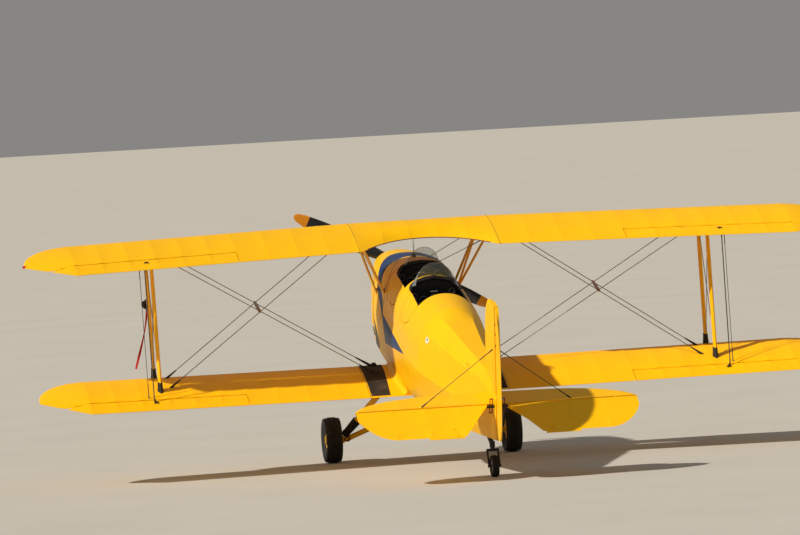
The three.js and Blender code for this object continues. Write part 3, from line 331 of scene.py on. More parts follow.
def mirroredPair(build, name, finish, body="root", stands="", crease=32):
    # The left piece and its mirror; a body that ends in _ has one for each side
    def buildRight(bm):
        carved = build(bm)
        flip(bm if carved is None else carved)
        return carved

    for side, sign in sides:
        makeOne(build if sign > 0 else buildRight, f"{name}_{side}", finish,
                body + side if body.endswith("_") else body, (f"{stands}_{side}",) if stands else (), crease)


def loftRings(bm, rings, capped=True):
    # Each ring is drawn out of the one before, point to point
    count = len(rings[0])
    ring = [bm.verts.new(point) for point in rings[0]]
    edges = [bm.edges.new((ring[i], ring[(i + 1) % count])) for i in range(count)]
    firstEdges = list(edges)
    for points in rings[1:]:
        made = bmesh.ops.extrude_edge_only(bm, edges=edges)["geom"]
        fresh = {part for part in made if isinstance(part, bmesh.types.BMVert)}
        ring = [next(e.other_vert(v) for e in v.link_edges if e.other_vert(v) in fresh) for v in ring]
        for vert, point in zip(ring, points):
            vert.co = point
        edges = [part for part in made if isinstance(part, bmesh.types.BMEdge) and set(part.verts) <= fresh]
    if capped:
        bmesh.ops.contextual_create(bm, geom=firstEdges)
        bmesh.ops.contextual_create(bm, geom=edges)
    bmesh.ops.recalc_face_normals(bm, faces=bm.faces)


def addRod(bm, start, end, radius, sides=12, endRadius=None):
    start, end = Vector(start), Vector(end)
    along = end - start
    place = Matrix.Translation((start + end) / 2) @ along.to_track_quat("Z", "Y").to_matrix().to_4x4()
    bmesh.ops.create_cone(bm, cap_ends=True, segments=sides, radius1=radius,
                          radius2=radius if endRadius is None else endRadius, depth=along.length, matrix=place)


def addBall(bm, centre, radius, rings=10):
    bmesh.ops.create_uvsphere(bm, u_segments=2 * rings, v_segments=rings, radius=radius,
                              matrix=Matrix.Translation(centre))


def bevelEdges(bm, edges, offset, segments=2):
    bmesh.ops.bevel(bm, geom=edges, offset=offset, segments=segments, profile=0.5, affect="EDGES", material=-1)


def addBlock(bm, low, high, bevel=0.0, segments=2):
    low, high = Vector(low), Vector(high)
    place = Matrix.Translation((low + high) / 2) @ Matrix.Diagonal((*(high - low), 1))
    verts = bmesh.ops.create_cube(bm, size=1, matrix=place)["verts"]
    if bevel:
        bevelEdges(bm, list({e for v in verts for e in v.link_edges}), bevel, segments)


def addTube(bm, points, radius, sides=10, closed=False):
    # A round section carried along a line of points, kept upright to the last turn
    points = [Vector(p) for p in points]
    count = len(points)
    rings = []
    normal = None
    for i, point in enumerate(points):
        ahead = points[(i + 1) % count] if closed or i + 1 < count else point
        behind = points[i - 1] if closed or i else point
        along = (ahead - behind).normalized()
        if normal is None:
            normal = along.orthogonal().normalized()
        normal = (normal - along * normal.dot(along)).normalized()
        side = along.cross(normal)
        reach = radius(i / (count - 1)) if callable(radius) else radius
        rings.append([point + (normal * math.cos(a) + side * math.sin(a)) * reach for a in turnsOf(sides)])
    if closed:
        rings.append(rings[0])
    loftRings(bm, rings, capped=not closed)


def addShape(bm, shape):
    # Another shape, added to this one and freed
    mesh = bpy.data.meshes.new("added")
    shape.to_mesh(mesh)
    shape.free()
    bm.from_mesh(mesh)
    bpy.data.meshes.remove(mesh)


def mirrorAcross(bm):
    # The right-hand half of a pair, added to the left-hand one
    copy = bmesh.ops.duplicate(bm, geom=bm.verts[:] + bm.edges[:] + bm.faces[:])["geom"]
    bmesh.ops.scale(bm, vec=(-1, 1, 1), verts=[part for part in copy if isinstance(part, bmesh.types.BMVert)])


def carve(bm, cutter, operation="DIFFERENCE"):
    # One closed shape cut by another, or kept inside it
    made = []
    for shape in (bm, cutter):
        mesh = bpy.data.meshes.new("carving")
        shape.to_mesh(mesh)
        shape.free()
        made.append(bpy.data.objects.new("carving", mesh))
        scene.collection.objects.link(made[-1])
    change = made[0].modifiers.new("carve", "BOOLEAN")
    change.operation = operation
    change.solver = "EXACT"
    change.object = made[1]
    result = made[0].evaluated_get(bpy.context.evaluated_depsgraph_get())
    fresh = bmesh.new()
    fresh.from_mesh(result.to_mesh())
    result.to_mesh_clear()
    for mesh in [one.data for one in made]:
        bpy.data.meshes.remove(mesh)
    return fresh


def blockShape(low, high):
    bm = bmesh.new()
    addBlock(bm, low, high)
    return bm


def rodShape(*rod):
    bm = bmesh.new()
    addRod(bm, *rod)
    return bm


def prism(outline, axis, low, high):
    # A flat outline pushed along X or Z
    bm = bmesh.new()
    loftRings(bm, [[Vector((h, a, b) if axis == "X" else (a, b, h)) for a, b in outline] for h in (low, high)])
    return bm


def bezierPoints(points, steps=24):
    a, b, c, d = [Vector(p) for p in points]
    made = []
    for i in range(steps + 1):
        t = i / steps
        made.append(a * (1 - t) ** 3 + b * 3 * t * (1 - t) ** 2 + c * 3 * t * t * (1 - t) + d * t ** 3)
    return made


def acrossCurve(curve, x):
    # The height of a line of points at a place along it
    for a, b in zip(curve, curve[1:]):
        if min(a.x, b.x) <= x <= max(a.x, b.x) and a.x != b.x:
            return a.y + (b.y - a.y) * (x - a.x) / (b.x - a.x)
    return curve[-1].y if abs(x - curve[-1].x) < abs(x - curve[0].x) else curve[0].y


def easeBetween(low, high, value):
    t = min(1, max(0, (value - low) / (high - low)))
    return t * t * (3 - 2 * t)


def evenly(points, step):
    # The same line with its points a step apart
    made = [points[0]]
    for a, b in zip(points, points[1:]):
        count = max(1, round((b - a).length / step))
        made += [a.lerp(b, k / count) for k in range(1, count + 1)]
    return made


# Wings: fabric over ribs, tape along each rib, the cloth sagging between them
section = {"thickness": 0.115, "camber": 0.025, "camberAt": 0.4, "tailEdge": 0.003, "points": 20}
panel = {"chord": 0.95, "sweep": 11, "rakeLength": 0.43, "rakeDepth": 0.409, "noseRound": 0.4, "noseDepth": 0.48}
wings = {
    "upper": {"rootX": 0.64, "leY": 1.32, "leZ": 0.676, "incidence": 0.8, "dihedral": 1.45, "length": 3.06},
    "lower": {"rootX": 0.633, "leY": 1.7, "leZ": -0.57, "incidence": 1.9, "dihedral": 3.2, "length": 3.012},
}
aileron = {"chord": 0.2, "inner": 1.132, "nose": 0.019, "outerNose": 0.011, "gap": 0.006}
cloth = {"ribs": 0.255, "sag": 0.0035, "tape": 0.026, "tapeLift": 0.0009, "tapeEdge": 0.0006, "spar": 0.14}
chord, joinGap = panel["chord"], 0.0004
hingeAft = chord - aileron["chord"]


def sectionHeights(u):
    # Half the thickness and the mean line's height at a share of the chord
    t, m, p = section["thickness"], section["camber"], section["camberAt"]
    half = 5 * t * (0.2969 * math.sqrt(u) - 0.126 * u - 0.3516 * u ** 2 + 0.2843 * u ** 3 - 0.1036 * u ** 4)
    if u < p:
        return half, m / p ** 2 * (2 * p * u - u * u)
    return half, m / (1 - p) ** 2 * (1 - 2 * p + 2 * p * u - u * u)


hingeHeight = sectionHeights(hingeAft / chord)[1] * chord * 0.75


def skinHeight(u):
    return sum(sectionHeights(u)) * chord


def wingCuts(wing, out):
    # How far the rounded tip cuts into the leading edge and the rake into the trailing edge
    rake = max(0, out - (wing["length"] - panel["rakeLength"]))
    nose = max(0, out - (wing["length"] - panel["noseRound"]))
    bend = 1 - math.sqrt(max(0, 1 - (nose / panel["noseRound"]) ** 2))
    return panel["noseDepth"] * bend, panel["rakeDepth"] * rake / panel["rakeLength"]


def wingPoint(wing, out, aft, height=0.0):
    # A point aft metres behind the swept leading edge, height metres off the chord line
    tilt, outward = math.radians(wing["incidence"]), max(0, out)
    swept, raised = (outward * math.tan(math.radians(angle)) for angle in (panel["sweep"], wing["dihedral"]))
    return Vector((wing["rootX"] + out,
                   wing["leY"] + swept + aft * math.cos(tilt) + height * math.sin(tilt),
                   wing["leZ"] + raised - aft * math.sin(tilt) + height * math.cos(tilt)))


def hingePoint(wing, out):
    return wingPoint(wing, out, hingeAft) + upBy(hingeHeight)


def hingeAxis(wing):
    return (hingePoint(wing, 3) - hingePoint(wing, 1)).normalized()


def surfaceAt(wing, out, aft, lift):
    # Upper and lower skin at a distance behind the leading edge line
    noseCut, tailCut = wingCuts(wing, out)
    length = chord - noseCut - tailCut
    u = min(1, max(0, (aft - noseCut) / length))
    half, mean = sectionHeights(u)
    slack = easeBetween(cloth["spar"] - 0.05, cloth["spar"] + 0.1, u) * (1 - easeBetween(0.9, 0.99, u))
    give = lift * slack if lift < 0 else lift
    edge = max(half * length + give, section["tailEdge"] / 2 * min(1, u * 40))
    return mean * length + edge, mean * length - edge


def wingRing(wing, out, lift, cutAft=None):
    # A section from tail over the top to the nose and back below; cutAft squares it off there
    noseCut, tailCut = wingCuts(wing, out)
    tail = chord - tailCut
    aftLimit = min(cutAft, tail) if cutAft else tail
    top, bottom = [], []
    for i in range(section["points"] + 1):
        aft = noseCut + (1 - math.cos(math.pi * i / section["points"])) / 2 * (tail - noseCut)
        high, low = surfaceAt(wing, out, min(aft, aftLimit), lift)
        if aft > aftLimit:
            share = (aft - aftLimit) / (tail - aftLimit)
            middle = (high + low) / 2
            high, low = high + (middle - high) * share, low + (middle - low) * share
        top.append(wingPoint(wing, out, min(aft, aftLimit), high))
        bottom.append(wingPoint(wing, out, min(aft, aftLimit), low))
    return top[::-1] + bottom[1:]


def ribStops(start, end):
    # Where the rings of a covered bay stand, and how far the cloth lies off the rib line there
    bays = max(1, round((end - start) / cloth["ribs"]))
    half, lift, edge = cloth["tape"] / 2, cloth["tapeLift"], cloth["tapeEdge"]
    stops = [(start, lift)]
    for i in range(bays):
        a, b = start + (end - start) * i / bays, start + (end - start) * (i + 1) / bays
        stops += [(a + half, lift), (a + half + edge, 0)]
        stops += [(a + (b - a) * t, -cloth["sag"] * 4 * t * (1 - t)) for t in (0.22, 0.36, 0.5, 0.64, 0.78)]
        stops += [(b - half - edge, 0), (b - half, lift)]
    return stops + [(end, lift)]


def buildWing(wing):
    tipInsets = (0.3, 0.2, 0.12, 0.065, 0.028, 0.008, 0.001)

    def build(bm):
        notch = aileron["inner"] - aileron["gap"]
        cutAft = hingeAft - aileron["nose"] - aileron["gap"]
        straight = wing["length"] - panel["rakeLength"]
        rings = [wingRing(wing, out, lift) for out, lift in ribStops(0, notch)]
        rings += [wingRing(wing, out, lift, cutAft) for out, lift in ribStops(notch, straight)]
        rings += [wingRing(wing, wing["length"] - inset, 0, cutAft) for inset in tipInsets]
        loftRings(bm, rings)
        wall = hingePoint(wing, notch)
        addRod(bm, wall - Vector((0.02, 0, 0)), wall + Vector((aileron["gap"] - 0.0006, 0, 0)), 0.006)
    return build


def aileronRing(wing, out, lift, steps=8, noseSteps=10):
    # Round nose at the hinge line, then both skins back to the trailing edge
    tail = chord - wingCuts(wing, out)[1]
    span = wing["length"] - panel["rakeLength"] + aileron["chord"] - aileron["inner"]
    nose = aileron["nose"] + (aileron["outerNose"] - aileron["nose"]) * (out - aileron["inner"]) / span
    high, low = surfaceAt(wing, out, hingeAft, 0)
    half = (high - low) / 2
    nose = min(nose, half)
    top, bottom = [], []
    for i in range(steps + 1):
        aft = tail + (hingeAft - tail) * (i / steps) ** 0.8
        skins = surfaceAt(wing, out, max(aft, hingeAft), lift * (1 - i / steps))
        for line, skin in zip((top, bottom), skins):
            line.append(wingPoint(wing, out, aft, skin))
    curve = []
    for i in range(1, noseSteps):
        angle = math.pi / 2 + math.pi * i / noseSteps
        curve.append(wingPoint(wing, out, hingeAft + nose * math.cos(angle), (high + low) / 2 + half * math.sin(angle)))
    return top + curve + bottom[::-1]


def buildAileron(wing):
    def build(bm):
        straight = wing["length"] - panel["rakeLength"]
        raked = aileron["chord"] * panel["rakeLength"] / panel["rakeDepth"]
        rings = [aileronRing(wing, out, lift) for out, lift in ribStops(aileron["inner"], straight)]
        rings += [aileronRing(wing, straight + raked * t, 0) for t in (0.3, 0.6, 0.85, 0.97)]
        loftRings(bm, rings)
    return build


for level, wing in wings.items():
    mirroredPair(buildWing(wing), f"{level}_wing_skin", "linen", "root", f"{level}_wing", 24)
print("wings covered")

cutOut = {"halfWidth": 0.62, "depth": 0.4, "spar": 0.4}


def cutDepth(x):
    # How far the arch over the cockpits cuts into the centre section
    return cutOut["depth"] * max(0, 1 - (abs(x) / cutOut["halfWidth"]) ** 2.2)


def buildCentre(bm):
    # The middle of the upper wing: its tail is drawn in to the arched cut-out over the cockpits
    wing, spar = wings["upper"], cutOut["spar"]

    def ring(x, lift):
        drawnIn = (chord - cutDepth(x) - spar) / (chord - spar)
        points = []
        for point in wingRing(wing, -joinGap, lift):
            aft = point.y - wing["leY"]
            points.append(Vector((x, wing["leY"] + (spar + (aft - spar) * drawnIn if aft > spar else aft), point.z)))
        return points

    width = wing["rootX"] - joinGap
    loftRings(bm, [ring(x, lift) for x, lift in ribStops(-width, width)])


makeOne(buildCentre, "upper_centre_skin", "linen", "root", ("upper_centre_section",), 24)

# Aileron links with round eyes and lock nuts, their lugs, and a cable rod beside each
link = {"out": 1.99, "upper": (0.049, -0.033), "lower": (0.027, 0.037), "eye": 0.008, "eyeHalf": 0.0055,
        "lugThick": 0.006, "lugGap": {"upper": 0.0067, "lower": 0.0058}}


def linkEnd(level):
    return hingePoint(wings[level], link["out"]) + Vector((0, *link[level]))


def buildLug(level):
    # Lug on the aileron for the link, with its foot plate on the skin
    def build(bm):
        aft, rise = link[level]
        gap = link["lugGap"][level]
        near, far = (linkEnd(level) - hingeAxis(wings[level]) * reach for reach in (gap, gap + link["lugThick"]))
        addRod(bm, near, far, link["eye"], 20)
        skin = (near + far) / 2 - upBy(rise)
        addRod(bm, (near + far) / 2, skin, 0.003, 10)
        lift = surfaceAt(wings[level], link["out"], hingeAft + aft, 0)[level == "upper"]
        pad, half = skin + upBy(lift - hingeHeight), Vector((0.012, 0.024, 0.002))
        addBlock(bm, pad - half, pad + half, 0.0015)
    return build


for level, wing in wings.items():
    name = f"{level}_aileron"
    mirroredPair(buildAileron(wing), f"{name}_skin", "linen", f"{name}_", name, 24)
    mirroredPair(buildLug(level), f"{name}_lug", "dark", f"{name}_")


def buildLink(bm):
    low, high = linkEnd("lower"), linkEnd("upper")
    along = (high - low).normalized()
    addRod(bm, low, high, 0.005, 16)
    for end, level in ((low, "lower"), (high, "upper")):
        reach = hingeAxis(wings[level]) * link["eyeHalf"]
        addRod(bm, end - reach, end + reach, link["eye"], 20)
    for start, way in ((low, along), (high, -along)):
        addRod(bm, start + way * 0.014, start + way * 0.03, 0.0065, 6)
        addRod(bm, start + way * 0.03, start + way * 0.036, 0.0085, 6)


mirroredPair(buildLink, "aileron_link_rod", "steel", "aileron_link_", "aileron_link")
print("ailerons hung")

# Struts: streamlined spruce and tube, painted, with dark boots where they meet the wings
strutPlaces = {"out": 1.903, "front": 0.115, "rear": 0.6, "width": 0.078, "thick": 0.034, "foot": 0.03}


def strutRing(centre, width, thick, steps=28):
    # A drop section, blunt end forward
    points = []
    for angle in turnsOf(steps):
        back = -math.cos(angle)
        points.append(centre + Vector((
            thick / 2 * math.sin(angle) * (1 - 0.42 * back - 0.12 * back * back), back * width / 2, 0)))
    return points


def buildStrut(bm, top, foot, width, thick, steps=8):
    rings = []
    for i in range(steps + 1):
        t = i / steps
        fair = 1 - 0.16 * (2 * t - 1) ** 4
        rings.append(strutRing(top.lerp(foot, t), width * fair, thick * fair))
    loftRings(bm, rings)


def strutEnds(place):
    aft = strutPlaces[place] * chord
    return (wingPoint(wings["upper"], strutPlaces["out"], aft, 0.0),
            wingPoint(wings["lower"], strutPlaces["out"], aft, strutPlaces["foot"]))


def buildInterplane(bm):
    for place in ("front", "rear"):
        buildStrut(bm, *strutEnds(place), strutPlaces["width"], strutPlaces["thick"])


def buildBoots(bm):
    for place in ("front", "rear"):
        top, foot = strutEnds(place)
        for end, other, reach in ((foot, top, 0.105), (top, foot, 0.07)):
            way = (other - end).normalized()
            loftRings(bm, [strutRing(end + way * (0.012 + reach * t), strutPlaces["width"] * grow * 0.92,
                                     strutPlaces["thick"] * grow * 1.1)
                           for t, grow in ((0, 1.5), (0.25, 1.34), (0.6, 1.16), (0.92, 1.07), (1, 1.03))])


wireRadius = {"wing": 0.0036, "incidence": 0.0032, "cabane": 0.003, "tail": 0.003, "cable": 0.0028}


def wireTube(bm, start, end, radius):
    # A streamlined wire with its threaded end and fork at both ends
    start, end = Vector(start), Vector(end)
    way = (end - start).normalized()
    addRod(bm, start, end, radius)
    for point, sign in ((start, 1), (end, -1)):
        neck = point + way * sign * 0.05
        addRod(bm, neck, point + way * sign * 0.14, radius * 1.5)
        addRod(bm, point, neck, radius * 2.3, 12, radius * (1.6 if sign > 0 else 2.3))


def buildIncidence(bm):
    front, rear = strutEnds("front"), strutEnds("rear")
    for (top, low), (otherTop, otherLow) in ((front, rear), (rear, front)):
        wireTube(bm, top.lerp(low, 0.05), otherLow.lerp(otherTop, 0.05), wireRadius["incidence"])


mirroredPair(buildInterplane, "interplane_strut_skin", "enamel", "root", "interplane_struts", 50)
mirroredPair(buildBoots, "interplane_boot", "rubber")
mirroredPair(buildIncidence, "incidence_wire", "steel")

wireEnds = {
    "flying": (((0.483, 1.8536, -0.525), (2.498, 1.8716, 0.74)), ((0.483, 2.1004, -0.533), (2.498, 2.1756, 0.736))),
    "landing": (((0.7, 1.484, 0.695), (2.491, 2.252, -0.447)), ((0.7, 1.826, 0.691), (2.491, 2.556, -0.4575))),
}
wireLines = [(Vector(start), Vector(end)) for pair in wireEnds.values() for start, end in pair]
spreader = {"radius": 0.0145, "shares": (0.35, 0.8, 1.0, 1.12, 1.0, 0.8, 0.35)}


def buildWires(bm):
    for start, end in wireLines:
        wireTube(bm, start, end, wireRadius["wing"])


def wireCrossing(i):
    # Where flying and landing wire i cross, seen from ahead
    (a, b), (c, d) = wireLines[i], wireLines[i + 2]
    t = ((c.z - a.z) * (d.x - c.x) - (c.x - a.x) * (d.z - c.z)) / (
        (b.z - a.z) * (d.x - c.x) - (b.x - a.x) * (d.z - c.z))
    return a.lerp(b, t)


def buildSpreader(bm):
    near, far = wireCrossing(0), wireCrossing(1)
    way = (far - near).normalized()
    tube = [near - way * 0.045, near - way * 0.03, near, near.lerp(far, 0.5), far, far + way * 0.03, far + way * 0.045]
    addTube(bm, tube, lambda t: spreader["radius"] * spreader["shares"][min(6, round(t * 6))], 18)


def buildAnchors(bm):
    # Plates where the wires come through the covering, with tapered boots on their lower ends
    for spot in (end for line in wireLines for end in line):
        rise = 0.022 if spot.z < 0 else -0.022
        addBlock(bm, spot + Vector((-0.02, -0.035, rise - 0.004)), spot + Vector((0.02, 0.035, rise + 0.016)), 0.006, 3)
    for line in wireLines:
        low, high = sorted(line, key=lambda end: end.z)
        addRod(bm, low.lerp(high, 0.004), low.lerp(high, 0.085), 0.015, 16, 0.0055)


mirroredPair(buildWires, "wing_wire", "steel", stands="wing_wires")
mirroredPair(buildSpreader, "wire_spreader", "spruce", crease=50)
mirroredPair(buildAnchors, "wire_anchor", "rubber")

# Cabane: a sloping N each side, braced by wires from the right top to the left foot
cabane = {"topX": 0.585, "topAft": (0.13, 0.6), "feet": ((0.345, 1.235, -0.005), (0.334, 1.625, 0.095)),
          "upright": (0.054, 0.023), "slope": (0.048, 0.021)}


def cabaneEnds():
    out = cabane["topX"] - wings["upper"]["rootX"]
    return [wingPoint(wings["upper"], out, u * chord) for u in cabane["topAft"]], [Vector(p) for p in cabane["feet"]]


def buildCabane(bm):
    tops, feet = cabaneEnds()
    for top, foot in zip(tops, feet):
        buildStrut(bm, top, foot, *cabane["upright"])
    buildStrut(bm, tops[0], feet[1], *cabane["slope"])


def buildCabaneWires(bm):
    for top, foot in zip(*cabaneEnds()):
        wireTube(bm, top.lerp(foot, 0.08) * Vector((-1, 1, 1)), foot.lerp(top, 0.08), wireRadius["cabane"])


mirroredPair(buildCabane, "cabane_strut_skin", "enamel", "root", "cabane_struts", 50)
makeOne(buildCabaneWires, "cabane_wire", "steel")
print("struts and wires rigged")

# Fuselage stations in millimetres: y, top, then height and half width of the shoulder, the side, the low
# corner and the bottom, and last the power of the deck's curve
stations = [[v / 1000 for v in row[:10]] + [row[10]] for row in (
    (100, 108, 15, 142, -120, 160, -320, 150, -425, 85, 2),
    (200, 160, 30, 198, -120, 218, -390, 205, -510, 125, 2),
    (420, 208, 50, 252, -130, 274, -460, 262, -590, 165, 2.1),
    (1050, 312, 85, 336, -160, 358, -500, 335, -640, 215, 2.4),
    (1700, 392, 15, 342, -178, 377, -517, 344, -662, 237, 2.3),
    (2450, 420, -40, 354, -173, 376, -507, 329, -648, 230, 2.2),
    (3000, 412, -60, 356, -164, 366, -481, 309, -618, 215, 2.15),
    (3480, 402, -50, 322, -150, 344, -440, 282, -570, 195, 2.1),
    (4500, 372, 10, 206, -100, 222, -310, 182, -425, 118, 2),
    (5350, 345, 60, 88, -60, 96, -200, 84, -290, 54, 2.1),
    (5868, 215, 60, 20, -50, 22, -150, 22, -205, 18, 2))]
bulgeLimit = 0.006
deckFlats = {"from": 3.48, "full": 3.98, "corners": (33, 66), "outward": 1.03}


def stationAt(y):
    # Between the stations the lines run on in soft curves that keep near to straight ones
    i = max(1, next((k for k, row in enumerate(stations) if row[0] >= y - 1e-9), len(stations) - 1))
    a, b = stations[i - 1], stations[i]
    length = b[0] - a[0]
    t = (y - a[0]) / length
    row = []
    for k in range(10):
        slope = (b[k] - a[k]) / length
        before, after = ((q[k] - p[k]) / (q[0] - p[0]) for p, q in (
            (stations[i - 2], a) if i > 1 else (a, b), (b, stations[i + 1]) if i + 1 < len(stations) else (a, b)))
        bulge = length * t * (1 - t) * ((1 - t) * (before - slope) / 2 - t * (after - slope) / 2)
        row.append(a[k] + t * (b[k] - a[k]) + max(-bulgeLimit, min(bulgeLimit, bulge)))
    return row + [a[10] + t * (b[10] - a[10])]


def sideCorners(row):
    # Half width and height of the bottom, the low corner, the side and the shoulder
    return [(row[k + 1], row[k]) for k in (8, 6, 4, 2)]


def hullRing(y, inset=0.0, flats=0, flatShare=1.0, steps=21):
    # From the keel up one side, over the deck and down the other; the deck turns into flats by flatShare
    row = stationAt(y)
    (bottomWidth, bottom), (lowWidth, lowZ), (sideWidth, sideZ), (width, shoulder) = sideCorners(row)
    top, power = row[1], row[10]
    corners = [(bottomWidth - inset * 0.5, bottom + inset), (lowWidth - inset, lowZ + inset * 0.3),
               (sideWidth - inset, sideZ), (width - inset, shoulder)]
    half = []
    for (xa, za), (xb, zb) in zip(corners, corners[1:]):
        half += [(xa + (xb - xa) * k / 3, za + (zb - za) * k / 3) for k in range(3)]

    def deck(angle):
        return ((width - inset) * math.cos(angle) ** (2 / power),
                shoulder + (top - inset - shoulder) * math.sin(angle) ** (2 / power))

    # the flats' corners, with a level one on top whose middle is at x 0
    turns = [math.radians(a) for a in deckFlats["corners"]]
    flatCorners = [deck(0)] + [tuple(v * deckFlats["outward"] for v in deck(turn)) for turn in turns]
    flatCorners.append((0, flatCorners[-1][1]))
    for i in range(steps):
        x, z = deck(math.pi / 2 * i / steps)
        if flats:
            k, t = i * flats // steps, i * flats % steps / steps
            (xa, za), (xb, zb) = flatCorners[k:k + 2]
            x += (xa + (xb - xa) * t - x) * flatShare
            z += (za + (zb - za) * t - z) * flatShare
        half.append((x, z))
    crown = top - inset
    if flats:
        crown += (flatCorners[-1][1] - crown) * flatShare
    right = [Vector((x, y, z)) for x, z in half]
    return right + [Vector((0, y, crown))] + mirrored(right[::-1])


def hullShape(start, end, inset=0.0, step=0.12, flats=0):
    count = max(2, round((end - start) / step))
    stops = [start, end] + [row[0] for row in stations if start < row[0] < end]
    stops += [start + (end - start) * k / count for k in range(1, count)]
    kept = []
    for y in sorted(stops):
        if not kept or y - kept[-1] > 0.02 or y == end:
            kept.append(y)
    bm = bmesh.new()
    loftRings(bm, [hullRing(y, inset, flats, easeBetween(deckFlats["from"], deckFlats["full"], y)) for y in kept])
    return bm


def onDeck(x, y, lift=0.0):
    row = stationAt(y)
    spread = min(1, abs(x) / row[3])
    return Vector((x, y, row[2] + (row[1] - row[2]) * (1 - spread ** row[10]) ** (1 / row[10]) + lift))


def onSide(y, z, lift=0.0):
    # A place on the hull's side, or on the deck above it, at a height
    row = stationAt(y)
    corners = sideCorners(row)
    half = corners[0][0]
    for (xa, za), (xb, zb) in zip(corners, corners[1:]):
        if za <= z <= zb:
            half = xa + (xb - xa) * (z - za) / (zb - za)
            break
    width, shoulder = corners[-1]
    if z > shoulder:
        half = width * max(0, 1 - ((z - shoulder) / (row[1] - shoulder)) ** row[10]) ** (1 / row[10])
    return Vector((half + lift, y, z))


fuselage = {"skin": 0.016, "endWall": 0.012, "firewall": 1.05, "tubEnd": 3.48, "stern": 5.868, "deckSplit": 0.13,
            "sill": 0.105, "above": 0.8, "beside": 0.5}
cockpits = {
    "front": {"from": 1.69, "to": 2.3, "frontHalf": 0.242, "aftHalf": 0.248, "across": 0.13, "along": 0.26,
              "doorFrom": 1.9, "doorTo": 2.27, "seatY": 1.88, "board": 1.672, "stick": 1.79},
    "rear": {"from": 2.42, "to": 2.99, "frontHalf": 0.228, "aftHalf": 0.236, "across": 0.075, "along": 0.12,
             "doorFrom": 2.56, "doorTo": 2.98, "seatY": 2.56, "board": 2.402, "stick": 2.47},
}
doorCorner = {"reach": 0.17, "height": 0.19, "step": 0.016, "inset": -0.0035, "gap": 0.003}


def quadratic(a, b, c, steps=8):
    return [tuple(a[k] * (1 - t) ** 2 + 2 * b[k] * t * (1 - t) + c[k] * t * t for k in (0, 1))
            for t in (i / steps for i in range(steps + 1))]


def openingHalf(place):
    # One half of the rim, from the middle of the front to the middle of the aft edge
    c = cockpits[place]
    front, aft, bend = c["frontHalf"], c["aftHalf"], c["from"] + c["along"]
    points = [(0, c["from"])] + quadratic((front - c["across"], c["from"]), (front, c["from"]), (front, bend))
    points += [(front + (aft - front) * k / 6, bend + (c["to"] - bend) * k / 6) for k in range(1, 7)]
    return points + [(aft * (1 - k / 6), c["to"]) for k in range(1, 7)]


def openingOutline(place):
    half = openingHalf(place)
    return half + [(-x, y) for x, y in reversed(half[1:-1])]


def doorOutline(place, grow):
    c, sill = cockpits[place], fuselage["sill"]
    start, aft = c["doorFrom"] - grow, c["doorTo"] + grow
    sillEnd, cornerZ = aft - doorCorner["reach"], sill + doorCorner["step"] - grow
    curve = quadratic((sillEnd, cornerZ), (aft, cornerZ), (aft, sill + doorCorner["height"]))
    return [(start, sill - grow), (sillEnd, sill - grow), *curve, (aft, fuselage["above"]), (start, fuselage["above"])]


def paintInside(bm):
    # Second material on the faces that look into the cockpits
    bmesh.ops.recalc_face_normals(bm, faces=bm.faces)
    for face in bm.faces:
        middle = face.calc_center_median()
        across = Vector((middle.x, 0, middle.z))
        ahead = face.normal.y > 0.7 and middle.y < 1.1
        behind = face.normal.y < -0.7 and middle.y > 3.4
        if ahead or behind or face.normal.dot(across) < -0.3 * across.length:
            face.material_index = 1
    return bm


beside, lined = fuselage["beside"], ["striped", "inside"]
shell = carve(hullShape(fuselage["firewall"], fuselage["tubEnd"]),
              hullShape(fuselage["firewall"] + fuselage["endWall"], fuselage["tubEnd"] - fuselage["endWall"],
                        fuselage["skin"]))
for place in cockpits:
    shell = carve(shell, prism(openingOutline(place), "Z", 0.18, 0.7))
tub = shell.copy()
for place in cockpits:
    for side, reach in (("left", (0.1, beside)), ("right", (-beside, -0.1))):
        name = f"door_{place}_{side}"
        door = carve(shell.copy(), prism(doorOutline(place, doorCorner["inset"]), "X", *reach), "INTERSECT")
        makePiece(f"{name}_skin", paintInside(door), lined, name, (name,))
    tub = carve(tub, prism(doorOutline(place, doorCorner["gap"]), "X", -beside, beside))
for name, start, end in (("front", fuselage["firewall"], 1.75), ("middle", 2.29, 2.48)):
    low, high = Vector((-beside, start, fuselage["deckSplit"])), Vector((beside, end, fuselage["above"]))
    deck = carve(shell.copy(), blockShape(low + Vector((0, 0.0003, 0)), high), "INTERSECT")
    makePiece(f"deck_{name}_skin", paintInside(deck), lined, "root", (f"deck_{name}",))
    tub = carve(tub, blockShape(low - Vector((0, 0.001, joinGap)), high + Vector((0, joinGap, 0))))
makePiece("fuselage_tub_skin", paintInside(tub), lined, "root", ("fuselage_tub",))
shell.free()
print("cockpits opened")

# Rear fuselage: cloth over stringers, with the hole for the elevator's tube
stern = carve(hullShape(fuselage["tubEnd"] + joinGap, fuselage["stern"], step=0.1, flats=3),
              rodShape((-0.08, hingeY, hingeZ), (0.08, hingeY, hingeZ), 0.0145, 24))
makePiece("fuselage_rear_skin", stern, "linen", "root", ("fuselage_rear",), 12)
bm = bmesh.new()
addBlock(bm, (-0.009, 5.843, -0.196), (0.009, 5.904, -0.172), 0.002)
addRod(bm, (0, rudderY, -0.2), (0, rudderY, -0.1653), 0.008, 16)
makePiece("rudder_bracket", bm, "dark")

# Nose bowl and engine cowl: sheet metal with an intake, a side outlet and louvres
cowl = {"skin": 0.004, "noseEnd": 0.2997, "start": 0.3003, "end": 1.0497, "shaft": 0.062, "intake": (0.052, 0.1)}
outlet = [(0.78, -0.62), (0.94, -0.62), (0.955, -0.6), (0.955, -0.44), (0.94, -0.42), (0.78, -0.42), (0.765, -0.44),
          (0.765, -0.6)]


